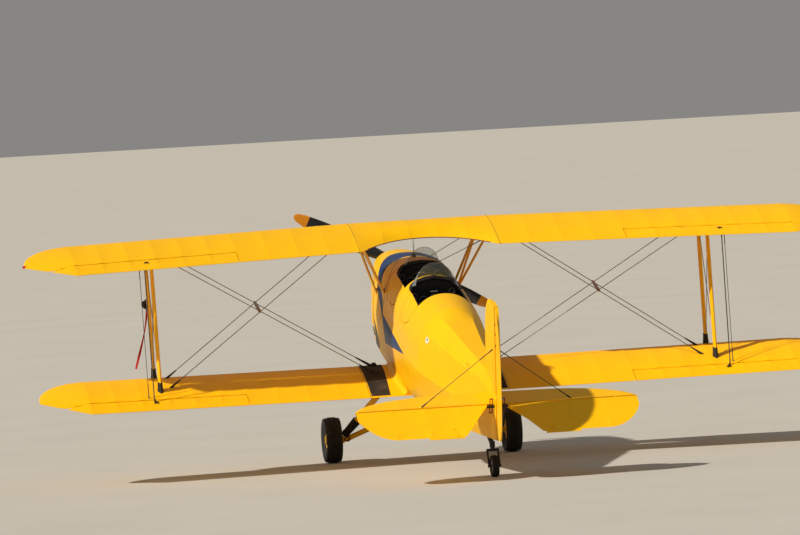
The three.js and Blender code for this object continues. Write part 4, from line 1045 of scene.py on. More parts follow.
def buildNose(bm):
    outside = ((0.1, 0.052), (0.101, 0.034), (0.106, 0.02), (0.116, 0.008), (0.132, 0.0015), (0.16, 0), (0.2, 0),
               (0.25, 0), (cowl["noseEnd"], 0))
    inside = ((0.106, 0.05), (0.112, 0.03), (0.125, 0.012), (0.16, 0.004), (0.2, 0.0), (0.32, 0.0))
    loftRings(bm, [hullRing(y, inset) for y, inset in outside])
    inner = bmesh.new()
    loftRings(inner, [hullRing(y, inset + cowl["skin"]) for y, inset in inside])
    wide, high = cowl["intake"]
    intake = prism([(0.062 + wide * math.cos(a), -0.235 + high * math.sin(a)) for a in turnsOf(32)], "Z", -0.01, 0.25)
    bmesh.ops.rotate(intake, cent=(0, 0, 0), matrix=Matrix.Rotation(math.pi / 2, 3, "X"), verts=intake.verts)
    bmesh.ops.translate(intake, vec=(0, 0.245, 0), verts=intake.verts)
    return carve(carve(carve(bm, inner), intake), rodShape((0, 0.02, 0), (0, 0.28, 0), cowl["shaft"], 40))


makeOne(buildNose, "cowl_nose_skin", "enamel", "root", ("cowl_nose",))
body = carve(hullShape(cowl["start"], cowl["end"], step=0.09),
             hullShape(cowl["start"] - 0.05, cowl["end"] + 0.05, cowl["skin"], step=0.09))
body = carve(body, prism(outlet, "X", 0.18, 0.42))
body = carve(body, rodShape((-0.1, 0.7, -0.5), (-0.153, 0.763, -0.69), 0.036, 32))
makePiece("cowl_main_skin", body, "striped", "root", ("cowl_main",))


def buildCowlTrim(bm):
    # Louvres low on the side and the long fasteners of the hinged top
    for k in range(7):
        place = Matrix.Translation(onSide(0.42 + 0.05 * k, -0.33, 0.002)) @ Matrix.Rotation(math.radians(14), 4, "Z")
        bmesh.ops.create_cone(bm, cap_ends=True, segments=18, radius1=0.011, radius2=0.011, depth=0.15,
                              matrix=place @ Matrix.Scale(0.55, 4, (1, 0, 0)))
    for z in (-0.12, -0.5):
        for k in range(6):
            addRod(bm, onSide(0.36 + 0.128 * k, z, -0.002), onSide(0.36 + 0.128 * k, z, 0.0035), 0.009, 16)


mirroredPair(buildCowlTrim, "cowl_trim", "enamel")


# Lower wing roots with their walkways
def buildRoot(bm):
    rootX = wings["lower"]["rootX"]
    loftRings(bm, [wingRing(wings["lower"], x - rootX, 0) for x in (0.2, 0.3, 0.4, 0.5, 0.6, rootX - joinGap)])
    return carve(bm, hullShape(1.2, 3.2))


mirroredPair(buildRoot, "wing_root_skin", "enamel", "root", "lower_wing_root")

walkway = {"outer": 0.622, "inner": 0.405, "drift": 0.047, "top": 0.0024, "foot": 0.0002}


def topLine(wing, x, shares, lift):
    # Points along the top of a root rib, lifted off it
    return [wingPoint(wing, x - wing["rootX"], u * chord, skinHeight(u) + lift) for u in shares]


def buildWalkway(bm):
    wing = wings["lower"]
    stops = [0.02 + 0.95 * (k / 24) ** 1.3 for k in range(25)]
    top, foot = (topLine(wing, walkway["outer"], stops, walkway[edge]) for edge in ("top", "foot"))
    rings = []
    for share in (0, 0.3, 0.65, 1):
        ring = []
        for point in top + foot[::-1]:
            inner = walkway["inner"] + walkway["drift"] * (point.y - wing["leY"]) / chord
            ring.append(Vector((inner + (point.x - inner) * share, point.y, point.z)))
        rings.append(ring)
    loftRings(bm, rings)


def buildRootFillet(bm):
    # Hollow-curved sheet from the root's top up the fuselage side, wider towards the trailing edge
    wing = wings["lower"]
    rings = []
    for u in (0.02 + 0.97 * k / 24 for k in range(25)):
        base = wingPoint(wing, 0, u * chord, skinHeight(u))
        reach = 0.02 + 0.075 * u
        curve = []
        for turn in (math.pi / 2 * i / 8 for i in range(9)):
            rise = base.z + reach * (1 - math.cos(turn)) + 0.001
            curve.append(onSide(base.y, rise, reach * (1 - math.sin(turn)) + 0.001))
        foot = base.z - 0.006
        curve += [curve[-1] - Vector((0.008, 0, 0)), onSide(base.y, foot, -0.006), Vector((curve[0].x, base.y, foot))]
        rings.append(curve)
    loftRings(bm, rings)


mirroredPair(buildWalkway, "walkway", "tread")
mirroredPair(buildRootFillet, "root_fillet", "enamel")
print("fuselage covered")

# Tail surfaces
tail = {"chord": 0.444, "rudderChord": 0.505, "inner": 0.09, "cutX": 0.334, "leY": 5.34, "gap": 0.006, "edge": 0.0022}
noseRadius = 0.016
planeForm = {"nose": 0.09, "half": 0.0225, "level": 0.3}
finForm = {"nose": 0.1, "half": 0.0235, "level": 0}


def flatRing(front, back, form, lift, place):
    # A flat symmetrical section from its aft edge round the nose and back
    points = []
    for i in range(17):
        along = front + (back - front) * (1 + math.cos(math.pi * i / 16)) / 2
        share = (along - front) / max(0.001, back - front)
        rise = math.sqrt(max(0.0, min(1.0, (along - front) / form["nose"]))) * form["half"]
        slack = lift * easeBetween(0.1, 0.3, share) * (1 - easeBetween(0.75, 1, share))
        points.append((along, max(0.0006, rise - 0.004 * max(0, share - form["level"]) + slack)))
    return [place(a, h) for a, h in points] + [place(a, -h) for a, h in reversed(points[1:-1])]


def controlRing(pivot, back, length, lift, place):
    # Both skins of a control surface from its trailing edge round the nose and back
    points = []
    for i in range(11):
        along = back + (pivot - back) * (i / 10) ** 0.85
        full = noseRadius + (tail["edge"] - noseRadius) * (along - pivot) / length
        points.append((along, max(0.001, full + lift * math.sin(math.pi * i / 10) * 0.9)))
    for i in range(1, 9):
        angle = math.pi / 2 + math.pi / 2 * i / 8
        points.append((pivot + noseRadius * math.cos(angle), noseRadius * math.sin(angle)))
    return [place(a, h) for a, h in points] + [place(a, -h) for a, h in reversed(points[1:-1])]


def levelAt(x):
    return lambda y, h: Vector((x, y, hingeZ + h))


def uprightAt(z):
    return lambda y, h: Vector((h, y, z))


def plainStops(*places):
    return [(place, 0) for place in places]


def buildTailplane(bm):
    lead = [Vector((0.0, tail["leY"] - 0.01)), Vector((0.45, tail["leY"] + 0.008))]
    lead += bezierPoints([(0.45, 5.348), (0.85, 5.37), (1.179, 5.52), (1.239, hingeY - 0.03)])[1:]
    back = hingeY - noseRadius - tail["gap"]
    loftRings(bm, [flatRing(min(acrossCurve(lead, x), back - 0.012), back, planeForm, lift, levelAt(x))
                   for x, lift in ribStops(0.012, 1.1) + plainStops(1.14, 1.18, 1.21, 1.228, 1.236)])
    return carve(bm, hullShape(5.0, fuselage["stern"], flats=3))


def elevatorTrail(x):
    end = hingeY + tail["chord"]
    if x <= tail["cutX"]:
        return hingeY + tail["chord"] * (x - tail["inner"]) / (tail["cutX"] - tail["inner"])
    if x <= 0.94:
        return end
    tipCurve = [(0.94, end), (1.11, end - 0.02), (1.249, hingeY + 0.17), (1.239, hingeY)]
    return acrossCurve(bezierPoints(tipCurve), min(x, 1.2385))


def buildElevator(bm):
    stops = plainStops(tail["inner"], 0.13, 0.18, 0.23, 0.28) + ribStops(tail["cutX"], 0.94)
    stops += plainStops(1.0, 1.06, 1.11, 1.15, 1.18, 1.2, 1.216, 1.227)
    loftRings(bm, [controlRing(hingeY, max(elevatorTrail(x), hingeY + 0.004), tail["chord"], lift, levelAt(x))
                   for x, lift in stops])


def buildTab(bm):
    # Metal tab on the trailing edge with the rod that sets it
    back = hingeY + tail["chord"]
    addRod(bm, (0.435, back - 0.11, hingeZ + 0.012), (0.41, back + 0.012, hingeZ + 0.009), 0.0028, 10)
    addBall(bm, (0.435, back - 0.11, hingeZ + 0.012), 0.007, 8)
    addBlock(bm, (0.355, back - 0.004, hingeZ - 0.0016), (0.66, back + 0.028, hingeZ + 0.0016), 0.0006, 1)


def hingeRod(bm, start, end, *size):
    addRod(bm, (start, hingeY, hingeZ), (end, hingeY, hingeZ), *size)


def buildElevatorFitting(bm):
    # Ring on the inner end and the hinges along the nose
    hingeRod(bm, tail["inner"] + 0.004, tail["inner"] + 0.016, 0.021, 24)
    for x in (0.2, 0.62, 1.04):
        addBlock(bm, (x - 0.012, hingeY - 0.0125, hingeZ - 0.0165), (x + 0.012, hingeY + 0.012, hingeZ + 0.0165), 0.004)


def buildLevers(bm):
    aft = hingeY - 0.012
    for x in (0.04, 0.062):
        for sign in (1, -1):
            addRod(bm, (x, hingeY, hingeZ - 0.002 * sign), (x + 0.002, aft, hingeZ + 0.07 * sign), 0.0045)
    for z in (hingeZ + 0.07, hingeZ - 0.07):
        addRod(bm, (0.037, aft, z), (0.069, aft, z), 0.0055)
    mirrorAcross(bm)


mirroredPair(buildTailplane, "tailplane_skin", "linen", "root", "tailplane", 24)
mirroredPair(buildElevator, "elevator_skin", "linen", "elevator", "elevator", 24)
mirroredPair(buildTab, "elevator_tab", "enamel", "elevator")
mirroredPair(buildElevatorFitting, "elevator_fitting", "enamel", "elevator")
makeOne(lambda bm: hingeRod(bm, -tail["inner"] - 0.006, tail["inner"] + 0.006, 0.013, 24),
        "elevator_torque_tube", "dark", "elevator")
makeOne(buildLevers, "elevator_levers", "oxide", "elevator")


def uprightCurve(*corners):
    # A curve given as (y, z) with its points as (z, y), to be read by height
    return [Vector((p.y, p.x)) for p in bezierPoints(corners)]


finCurve = [Vector((0.2, 5.29)), Vector((0.25, 5.29)), Vector((0.7, 5.315))]
finCurve += uprightCurve((5.315, 0.7), (5.33, 0.9), (5.45, 0.985), (5.64, 0.99))[1:]
rudderCurve = uprightCurve((rudderY + 0.004, 0.985), (6.08, 0.975), (6.27, 0.85), (6.35, 0.62))
rudderCurve += uprightCurve((6.35, 0.62), (6.4, 0.45), (6.41, 0.3), (6.4, 0.18))[1:]
rudderCurve += uprightCurve((6.4, 0.18), (6.385, 0.02), (6.26, -0.12), (6.08, -0.16))[1:]
rudderCurve.append(Vector((-0.1651, rudderY + 0.004)))


def buildFin(bm):
    back = rudderY - noseRadius - tail["gap"]
    loftRings(bm, [flatRing(acrossCurve(finCurve, z), back, finForm, lift, uprightAt(z))
                   for z, lift in ribStops(0.2, 0.9) + plainStops(0.93, 0.955, 0.972, 0.983, 0.988)])
    return carve(bm, hullShape(5.0, fuselage["stern"], flats=3))


def buildRudder(bm):
    stops = plainStops(-0.165, -0.163, -0.155, -0.14, -0.12, -0.09, -0.05) + ribStops(0, 0.72)
    stops += plainStops(0.78, 0.83, 0.875, 0.91, 0.94, 0.96, 0.973, 0.981, 0.9848)
    loftRings(bm, [controlRing(rudderY, max(acrossCurve(rudderCurve, z), rudderY + 0.003), tail["rudderChord"], lift,
                               uprightAt(z)) for z, lift in stops])


def buildHingeCovers(bm):
    for z in (0.84, 0.755, 0.65):
        for x in (0.0155, -0.0155):
            addBlock(bm, (x - 0.003, rudderY + 0.012, z - 0.014), (x + 0.003, rudderY + 0.034, z + 0.014), 0.0015)


makeOne(buildFin, "fin_skin", "linen", "root", ("fin",), 24)
makeOne(buildRudder, "rudder_skin", "linen", "rudder", ("rudder",), 24)
makeOne(buildHingeCovers, "rudder_hinge_covers", "burnt", "rudder")
mirroredPair(lambda bm: wireTube(bm, (0.021, 5.77, 0.585), (0.655, 5.77, hingeZ + 0.02), wireRadius["tail"]),
             "tail_stay_wire", "dark", "root", "tail_stay")
print("tail fitted")

# Landing gear
wheel = {"x": 0.833, "y": 1.48, "z": -1.284, "radius": 0.21, "width": 0.15}
legTop, knee = Vector((0.215, 1.72, -0.6)), Vector((0.7, wheel["y"], wheel["z"] + 0.06))
keel = Vector((0, 1.7, -0.93))
legForm = {"width": 0.13, "widthTaper": 0.018, "thick": 0.07, "thickTaper": 0.008}
bootForm = {"from": 0.8, "length": 0.18, "top": 0.0405, "taper": 0.006, "rib": 0.0028, "steps": 32}
bigWheel = 0.15  # radius above which a wheel has a wide hub, bolts and a valve
hubReach = 0.05  # radius up to which a disc is narrowed on a small wheel


def buildLeg(bm):
    end = legTop.lerp(knee, bootForm["from"])
    loftRings(bm, [strutRing(legTop.lerp(end, t), legForm["width"] - legForm["widthTaper"] * t,
                             legForm["thick"] - legForm["thickTaper"] * t) for t in (i / 8 for i in range(9))])
    addTube(bm, [legTop.lerp(knee, t) for t in (0.76, 0.8, 0.84)], 0.03, 24)


def buildLegBoot(bm):
    # Ribbed rubber boot over the spring, and the tow ring behind the knee
    steps = bootForm["steps"]
    points = [legTop.lerp(knee, bootForm["from"] + bootForm["length"] * i / steps) for i in range(steps + 1)]
    sizes = [bootForm["top"] - bootForm["taper"] * i / steps + bootForm["rib"] * math.sin(i * math.pi / 2)
             for i in range(steps + 1)]
    addTube(bm, points, lambda t: sizes[min(steps, round(t * steps))], 28)
    addBall(bm, knee, 0.038, 12)
    ring = knee + Vector((0, 0.045, -0.045))
    addTube(bm, [ring + Vector((math.cos(a), 0, math.sin(a))) * 0.023 for a in turnsOf(24)], 0.005, 10, closed=True)


def buildAxle(bm):
    def axleRod(start, end, radius):
        addRod(bm, (start, wheel["y"], wheel["z"]), (end, wheel["y"], wheel["z"]), radius, 28)

    addTube(bm, [keel, Vector((0.69, wheel["y"], wheel["z"] + 0.004))], 0.024, 24)
    axleRod(0.67, wheel["x"] + 0.062, 0.022)
    axleRod(0.72, 0.745, 0.034)
    for y in (1.45, 1.98):
        addTube(bm, [keel, Vector((0.12, y, -0.64))], 0.017, 20)
    addBall(bm, keel, 0.038, 14)
    mirrorAcross(bm)


mirroredPair(buildLeg, "gear_leg_fairing", "enamel", "root", "gear_leg", 50)
mirroredPair(buildLegBoot, "gear_boot", "rubber", crease=60)
makeOne(buildAxle, "gear_axle_tubes", "enamel", "root", ("gear_axles",))


def latheWheel(bm, profile, centre, steps):
    # A profile of (radius, x) points spun about the axle
    verts = [bm.verts.new((x, 0, r)) for r, x in profile]
    edges = [bm.edges.new(pair) for pair in zip(verts, verts[1:] + verts[:1])]
    bmesh.ops.spin(bm, geom=verts + edges, cent=(0, 0, 0), axis=(1, 0, 0), angle=2 * math.pi, steps=steps,
                   use_merge=True)
    bmesh.ops.translate(bm, vec=centre, verts=bm.verts)


def tyreProfile(radius, width):
    # Round carcass with four grooves in the tread
    half, bead = width / 2, radius * 0.56
    flank = [(bead, -half * 0.62), (bead + 0.012, -half * 0.72)]
    for t in (math.pi / 2 * k / 8 for k in range(1, 9)):
        flank.append((bead + 0.012 + (radius * 0.93 - bead) * math.sin(t), -half * (0.72 + 0.28 * math.sin(2 * t))))
    flank = [p for p in flank if p[0] < radius * 0.96] + [(radius * 0.965, -half * 0.62), (radius * 0.985, -half * 0.5)]
    grooves = []
    for g in (-0.36, -0.12, 0.12, 0.36):
        grooves += [(radius * high, half * (g + x)) for high, x in (
            (0.998, -0.045), (0.968, -0.03), (0.968, 0.03), (0.998, 0.045))]
    return flank + grooves + [(r, -x) for r, x in reversed(flank)]


def buildWheel(name, centre, radius, width, finish, side):
    half, rim, centre = width / 2, radius * 0.585, Vector(centre)
    hub = 1 if radius > bigWheel else 0.45
    makeOne(lambda bm: latheWheel(bm, tyreProfile(radius, width), centre, 72), f"{name}_tyre", "rubber", name,
            (name,), 28)
    flank = [(0.0225, 0.8), (0.04, 0.8), (0.048, 0.62), (rim * 0.94, 0.5), (rim, 0.64), (rim + 0.003, 0.6),
             (rim - 0.006, 0.4)]
    flank = [(r * hub if r < hubReach else r, x) for r, x in flank]
    disc = [(r, -half * x) for r, x in flank] + [(r, half * x) for r, x in reversed(flank)]
    makeOne(lambda bm: latheWheel(bm, disc, centre, 48), f"{name}_disc", finish, name)

    def buildBolts(bm):
        for angle in turnsOf(5):
            spot = centre + Vector((side * half * 0.6, 0.075 * math.cos(angle), 0.075 * math.sin(angle)))
            addRod(bm, spot - Vector((0.01, 0, 0)), spot + Vector((0.006 * side, 0, 0)), 0.009, 6)
        valve = centre + Vector((side * half * 0.5, 0, 0.1))
        addRod(bm, valve, valve + Vector((side * 0.022, 0, 0)), 0.004, 10)

    if radius > bigWheel:
        makeOne(buildBolts, f"{name}_bolts", "steel", name)


for side, sign in sides:
    buildWheel(f"wheel_{side}", (sign * wheel["x"], wheel["y"], wheel["z"]), wheel["radius"], wheel["width"], "enamel",
               sign)

# Tailwheel: leaf spring, swivel and fork, upright as the aircraft is parked
tip = math.radians(stance["groundAngle"])
tailwheel = {"y": 5.6, "radius": 0.095, "width": 0.06, "trail": 0.06, "swivel": 0.178, "forkX": 0.047}
groundZ = wheel["z"] + (tailwheel["y"] - wheel["y"]) * math.tan(tip) - wheel["radius"] / math.cos(tip)
tailHub = Vector((0, tailwheel["y"], groundZ + tailwheel["radius"] / math.cos(tip)))


def parkedStep(aft, up):
    return Vector((0, aft * math.cos(tip) - up * math.sin(tip), aft * math.sin(tip) + up * math.cos(tip)))


swivelTop = tailHub + parkedStep(-tailwheel["trail"], tailwheel["swivel"])


def swivelRod(bm, high, low, radius, steps):
    addRod(bm, swivelTop + parkedStep(0, high), swivelTop + parkedStep(0, low), radius, steps)


def buildSpring(bm):
    root, foot = Vector((0, 5.15, -0.25)), swivelTop + parkedStep(0, 0.01)
    addTube(bm, [root.lerp(foot, t) for t in (0, 0.25, 0.5, 0.75, 1)], lambda t: 0.026 - 0.005 * t, 24)
    swivelRod(bm, 0.036, -0.018, 0.024, 32)
    swivelRod(bm, 0.046, 0.034, 0.015, 6)


def buildFork(bm):
    crown = swivelTop + parkedStep(0, -0.04)
    end = tailwheel["forkX"] + 0.007
    swivelRod(bm, -0.0184, -0.04, 0.02, 32)
    addRod(bm, crown - Vector((end, 0, 0)), crown + Vector((end, 0, 0)), 0.012, 24)
    addRod(bm, tailHub - Vector((end, 0, 0)), tailHub + Vector((end, 0, 0)), 0.009, 24)
    for sign in (1, -1):
        across, nut = Vector((sign * tailwheel["forkX"], 0, 0)), Vector((sign * 0.004, 0, 0))
        addTube(bm, [crown + across, crown.lerp(tailHub, 0.5) + across, tailHub + across], 0.0088, 18)
        axleEnd = tailHub + Vector((sign * end, 0, 0))
        addRod(bm, axleEnd - nut, axleEnd + nut, 0.0125, 6)


buildWheel("tailwheel", tailHub, tailwheel["radius"], tailwheel["width"], "alloy", 1)
makeOne(buildSpring, "tailwheel_spring", "dark", "root", ("tailwheel_leg",))
makeOne(buildFork, "tailwheel_fork_frame", "dark", "tailwheel_fork", ("tailwheel_fork",))
print("gear down")

# Propeller: black laminated wood, orange-yellow tips, plated hub. Rows give reach, chord, thickness and pitch
bladeTable = [(0.04, 0.088, 0.068, 55), (0.14, 0.114, 0.056, 50), (0.3, 0.146, 0.038, 39), (0.52, 0.158, 0.027, 29),
              (0.76, 0.14, 0.019, 22), (0.94, 0.108, 0.013, 19), (1.015, 0.074, 0.009, 18), (1.0425, 0.03, 0.006, 18)]
blade = {"root": 0.05, "tipPaint": 0.9, "end": 1.0425, "flatFace": 0.72}
hub = {"radius": 0.088, "half": 0.032, "plate": 0.045, "plateRadius": 0.078, "bolts": 0.058}


def bladeRing(out, steps=32):
    i = max(1, next((k for k, row in enumerate(bladeTable) if row[0] >= out - 1e-9), len(bladeTable) - 1))
    a, b = bladeTable[i - 1], bladeTable[i]
    length, thick, pitch = (a[k] + (b[k] - a[k]) * (out - a[0]) / (b[0] - a[0]) for k in (1, 2, 3))
    turn = math.radians(pitch)
    ring = []
    for k in range(steps):
        angle = 2 * math.pi * (k + 0.5) / steps
        along, off = length / 2 * math.cos(angle), thick / 2 * math.sin(angle)
        off *= 1 if off > 0 else blade["flatFace"]
        ring.append(Vector((out, -along * math.sin(turn) + off * math.cos(turn),
                            along * math.cos(turn) + off * math.sin(turn))))
    return ring


def addBlades(bm, start, end, steps):
    for turn in (0, math.pi):
        one = bmesh.new()
        loftRings(one, [bladeRing(start + (end - start) * (1 - (1 - k / steps) ** 1.5)) for k in range(steps + 1)])
        bmesh.ops.rotate(one, cent=(0, 0, 0), matrix=Matrix.Rotation(turn, 3, "Y"), verts=one.verts)
        addShape(bm, one)


def buildBlades(bm):
    addBlades(bm, blade["root"], blade["tipPaint"], 22)
    addRod(bm, (0, -hub["half"], 0), (0, hub["half"], 0), hub["radius"], 56)


def buildHub(bm):
    for sign in (-1, 1):
        addRod(bm, (0, sign * hub["half"], 0), (0, sign * hub["plate"], 0), hub["plateRadius"], 48)
    for angle in turnsOf(8):
        x, z = hub["bolts"] * math.cos(angle), hub["bolts"] * math.sin(angle)
        addRod(bm, (x, -0.0449, z), (x, hub["plate"], z), 0.009, 6)


makeOne(buildBlades, "propeller_blades", "blade", "propeller", ("propeller",), 40)
makeOne(lambda bm: addBlades(bm, blade["tipPaint"], blade["end"], 12), "propeller_tips", "tipPaint", "propeller",
        crease=40)
makeOne(buildHub, "propeller_hub_plates", "alloy", "propeller")


exhaust = {"radius": 0.029, "bore": 0.0265, "mouth": (-0.167, 0.99, -0.742), "line": [
    (-0.1, 0.7, -0.505), (-0.138, 0.742, -0.62), (-0.15, 0.765, -0.672), (-0.155, 0.81, -0.7), (-0.165, 0.958, -0.735)]}


def buildExhaust(bm):
    # Pipe bent out under the cowl, hollow in its last part
    addTube(bm, exhaust["line"], exhaust["radius"], 28)
    hollow = bmesh.new()
    addTube(hollow, exhaust["line"][2:] + [exhaust["mouth"]], exhaust["bore"], 28)
    return carve(bm, hollow)


makeOne(buildExhaust, "exhaust_tailpipe", "burnt", "root", ("exhaust_pipe",), 50)
print("propeller and exhaust fitted")

# Cockpits: padded rims ahead of the doors, rubber beading on the doors and behind them
padding = {"front": {"roll": 0.019, "rise": 0.004, "side": 0.006},
           "rear": {"roll": 0.022, "rise": 0.006, "side": 0.006}}
beading = {"radius": 0.004, "inward": 0.0065, "down": 0.004, "narrow": 0.975}
for place, c in cockpits.items():
    pad, half = padding[place], [onDeck(x, y) for x, y in openingHalf(place)]
    lead = max(k for k, p in enumerate(half) if p.x > 0 and p.y < c["doorFrom"])
    bow = evenly(mirrored(half[lead:0:-1]) + half[:lead + 1], 0.03)
    last, following = bow[-1], half[lead + 1]
    edge = last.lerp(following, (c["doorFrom"] - doorCorner["gap"] - last.y) / (following.y - last.y))
    bow = mirrored([edge]) + bow + [edge]

    def rollSize(t, pad=pad):
        return pad["side"] + (pad["roll"] - pad["side"]) * easeBetween(0, 0.22, min(t, 1 - t))

    roll = makeOne(lambda bm: addTube(bm, [p + upBy(pad["rise"]) for p in bow], rollSize, 18),
                   f"coaming_{place}_roll", "leather", crease=60)
    rim = evenly(half, 0.01)
    on = [p for p in rim if p.x > 0.1 and c["doorFrom"] + 0.001 < p.y < c["doorTo"] - 0.001]
    on = [p - Vector((beading["inward"], 0, beading["down"])) for p in on[::6] + [on[-1]]]
    mirroredPair(lambda bm: addTube(bm, on, beading["radius"], 14), f"beading_{place}", "rubber", f"door_{place}_",
                 crease=60)
    off = [p for p in rim if p.y > c["doorTo"] + 0.006]
    arc = off[::4] + [off[-1]]
    shrink, drop = Vector((beading["narrow"], 1, 1)), Vector((0, 0.005, beading["down"]))
    arc = [p * shrink - drop for p in arc + mirrored(arc[-2::-1])]
    makeOne(lambda bm: addTube(bm, arc, beading["radius"], 14), f"beading_{place}_aft", "rubber", crease=60)

# Instrument boards; each dial has x, z, radius and the turn of its needle
boards = {"thick": 0.016, "inset": 0.018, "low": 0.04, "switchZ": 0.11, "switches": (-0.24, -0.215, 0.22)}
dials = ((0, 0.225, 0.04, 40), (-0.1, 0.215, 0.04, 130), (0.1, 0.215, 0.04, -60), (-0.165, 0.29, 0.026, 200),
         (0.185, 0.255, 0.03, 20), (0, 0.125, 0.034, 90), (-0.19, 0.225, 0.024, 240), (0.09, 0.12, 0.028, -20))


def clockWay(degrees):
    return Vector((math.sin(math.radians(degrees)), 0, math.cos(math.radians(degrees))))


for place, c in cockpits.items():
    face = c["board"] + boards["thick"]
    bm = carve(hullShape(1.4, 3.2, boards["inset"]),
               blockShape((-beside, c["board"], boards["low"]), (beside, face, fuselage["above"])), "INTERSECT")
    makePiece(f"board_{place}", bm, "board")
    bezel, glass, marks = bmesh.new(), bmesh.new(), bmesh.new()
    for x, z, radius, reading in dials:
        middle = Vector((x, face, z))
        addTube(bezel, [middle + Vector((radius * math.cos(a), 0.005, radius * math.sin(a))) for a in turnsOf(28)],
                0.0042, 8, closed=True)
        addRod(glass, middle - Vector((0, 0.006, 0)), middle + Vector((0, 0.006, 0)), radius * 0.97, 32)
        pin, needle = middle + Vector((0, 0.0072, 0)), clockWay(reading) * radius * 0.7
        addRod(marks, pin - needle * 0.25, pin + needle, 0.0011, 6, 0.0004)
        for way in (clockWay(30 * k) for k in range(12)):
            spot = middle + Vector((0, 0.0065, 0)) + way * radius * 0.84
            addRod(marks, spot - way * 0.0025, spot + way * 0.0025, 0.0007, 6)
    makePiece(f"bezels_{place}", bezel, "alloy")
    makePiece(f"dial_faces_{place}", glass, "dial")
    makePiece(f"dial_marks_{place}", marks, "mark")
    makeOne(lambda bm: addBlock(bm, (-0.033, face - 0.001, 0.288), (0.035, face + 0.0025, 0.3), 0.0008),
            f"placard_{place}", "mark")

    def buildSwitches(bm, face=face):
        for x in boards["switches"]:
            addRod(bm, (x, face - 0.002, boards["switchZ"]), (x, face + 0.018, boards["switchZ"]), 0.0045)
            addBall(bm, (x, face + 0.022, boards["switchZ"]), 0.009, 8)

    makeOne(buildSwitches, f"board_switches_{place}", "black")

# Seats: bent sheet on a tube frame with side cheeks, outlines as (y, z) from the seat's own y
seat = {"half": 0.205, "legX": 0.135, "legFront": 0.075, "legAft": 0.265, "floor": 0.022}
seatSheet = ((0, -0.23), (0.02, -0.255), (0.33, -0.285), (0.4, 0.175), (0.378, 0.18), (0.312, -0.262), (0.04, -0.232),
             (0, -0.205))
seatCheek = ((0.01, -0.235), (0.33, -0.27), (0.392, 0.13), (0.33, 0.06), (0.28, -0.13), (0.03, -0.17))
cushions = {"cushion": ((-0.185, 0.02, -0.232), (0.185, 0.315, -0.175), -5.5),
            "backrest": ((-0.18, 0.262, -0.15), (0.18, 0.312, 0.14), -8.5)}


def floorAt(y):
    return stationAt(y)[8] + seat["floor"]


for place, c in cockpits.items():
    seatY = c["seatY"]
    floorZ, front, aft = floorAt(seatY), seatY + seat["legFront"], seatY + seat["legAft"]
    bm = prism([(seatY + y, z) for y, z in seatSheet], "X", -seat["half"], seat["half"])
    bevelEdges(bm, bm.edges[:], 0.003)
    for x in (-seat["legX"], seat["legX"]):
        for y in (front, aft):
            addRod(bm, (x, y, floorZ), (x, y, -0.25), 0.011, 16)
        addRod(bm, (x, front, floorZ + 0.02), (x, aft, -0.3), 0.008)
    for sign in (1, -1):
        addShape(bm, prism([(seatY + y, z) for y, z in seatCheek], "X", sign * 0.203, sign * 0.209))
    makePiece(f"seat_shell_{place}", bm, "inside", "root", (f"seat_{place}",))
    for part, (low, high, turn) in cushions.items():
        low, high = Vector(low) + Vector((0, seatY, 0)), Vector(high) + Vector((0, seatY, 0))
        bm = bmesh.new()
        addBlock(bm, low, high, 0.018, 4)
        bmesh.ops.rotate(bm, cent=(low + high) / 2, matrix=Matrix.Rotation(math.radians(turn), 3, "X"), verts=bm.verts)
        cushion = makePiece(f"seat_{part}_{place}", bm, "canvas", crease=70)

# Control sticks on their shaft, throttles, side tubes and floor boards
stick = {"shaft": 0.016, "lift": 0.0003, "overhang": 0.03, "lean": 0.02, "tops": {"front": -0.13, "rear": -0.11}}
frameTubes = {"inward": 0.034, "rails": (0.05, -0.42), "uprights": (1.5, 2.0, 2.72, 3.36)}


def shaftPoint(y):
    return Vector((0, y, floorAt(y) + stick["shaft"] + stick["lift"]))


shaft = [shaftPoint(y) for y in (cockpits["front"]["stick"] - stick["overhang"], 2.0, 2.25,
                                 cockpits["rear"]["stick"] + stick["overhang"])]
tubes, grips = bmesh.new(), bmesh.new()
addTube(tubes, shaft, stick["shaft"], 20)
for place, c in cockpits.items():
    foot, top = shaftPoint(c["stick"]), Vector((0, c["stick"] + stick["lean"], stick["tops"][place]))
    bend = [foot.lerp(top, t) - Vector((0, ahead, 0)) for t, ahead in ((0.25, 0.012), (0.6, 0.01))]
    addTube(tubes, [foot, *bend, top], 0.0115, 18)
    grip = [foot.lerp(top, t) for t in (0.74, 0.8, 0.86, 0.92, 0.98, 1.0)]
    addTube(grips, grip, lambda t: 0.0165 + 0.003 * math.cos(t * 11), 18)
    addRod(grips, foot + upBy(0.01), foot + upBy(0.06), 0.034, 24, 0.016)
makePiece("stick_tubes", tubes, "black", "root", ("control_sticks",), 50)
makePiece("stick_grips", grips, "rubber", crease=50)


def buildCockpitFrame(bm):
    inward = -frameTubes["inward"]
    for z in frameTubes["rails"]:
        addTube(bm, [onSide(y, z, inward) for y in (1.12, 1.6, 2.2, 2.78, 3.1, 3.4)], 0.0125, 14)
    for y in frameTubes["uprights"]:
        addTube(bm, [onSide(y, z, inward) for z in (0.05, -0.18, -0.42)], 0.0105, 14)


def buildThrottles(bm):
    for c in cockpits.values():
        y = c["seatY"] + 0.02
        x = onSide(y, -0.02, -0.055).x
        addBlock(bm, (x - 0.008, y - 0.07, -0.06), (x + 0.014, y + 0.07, 0.0), 0.006, 3)
        for k, lean in ((0, -0.03), (1, 0.02)):
            addRod(bm, (x + 0.003, y + 0.02 * k, -0.02), (x - 0.004, y + 0.02 * k + lean, 0.07), 0.004)
            addBall(bm, (x - 0.004, y + 0.02 * k + lean, 0.076), 0.012, 8)


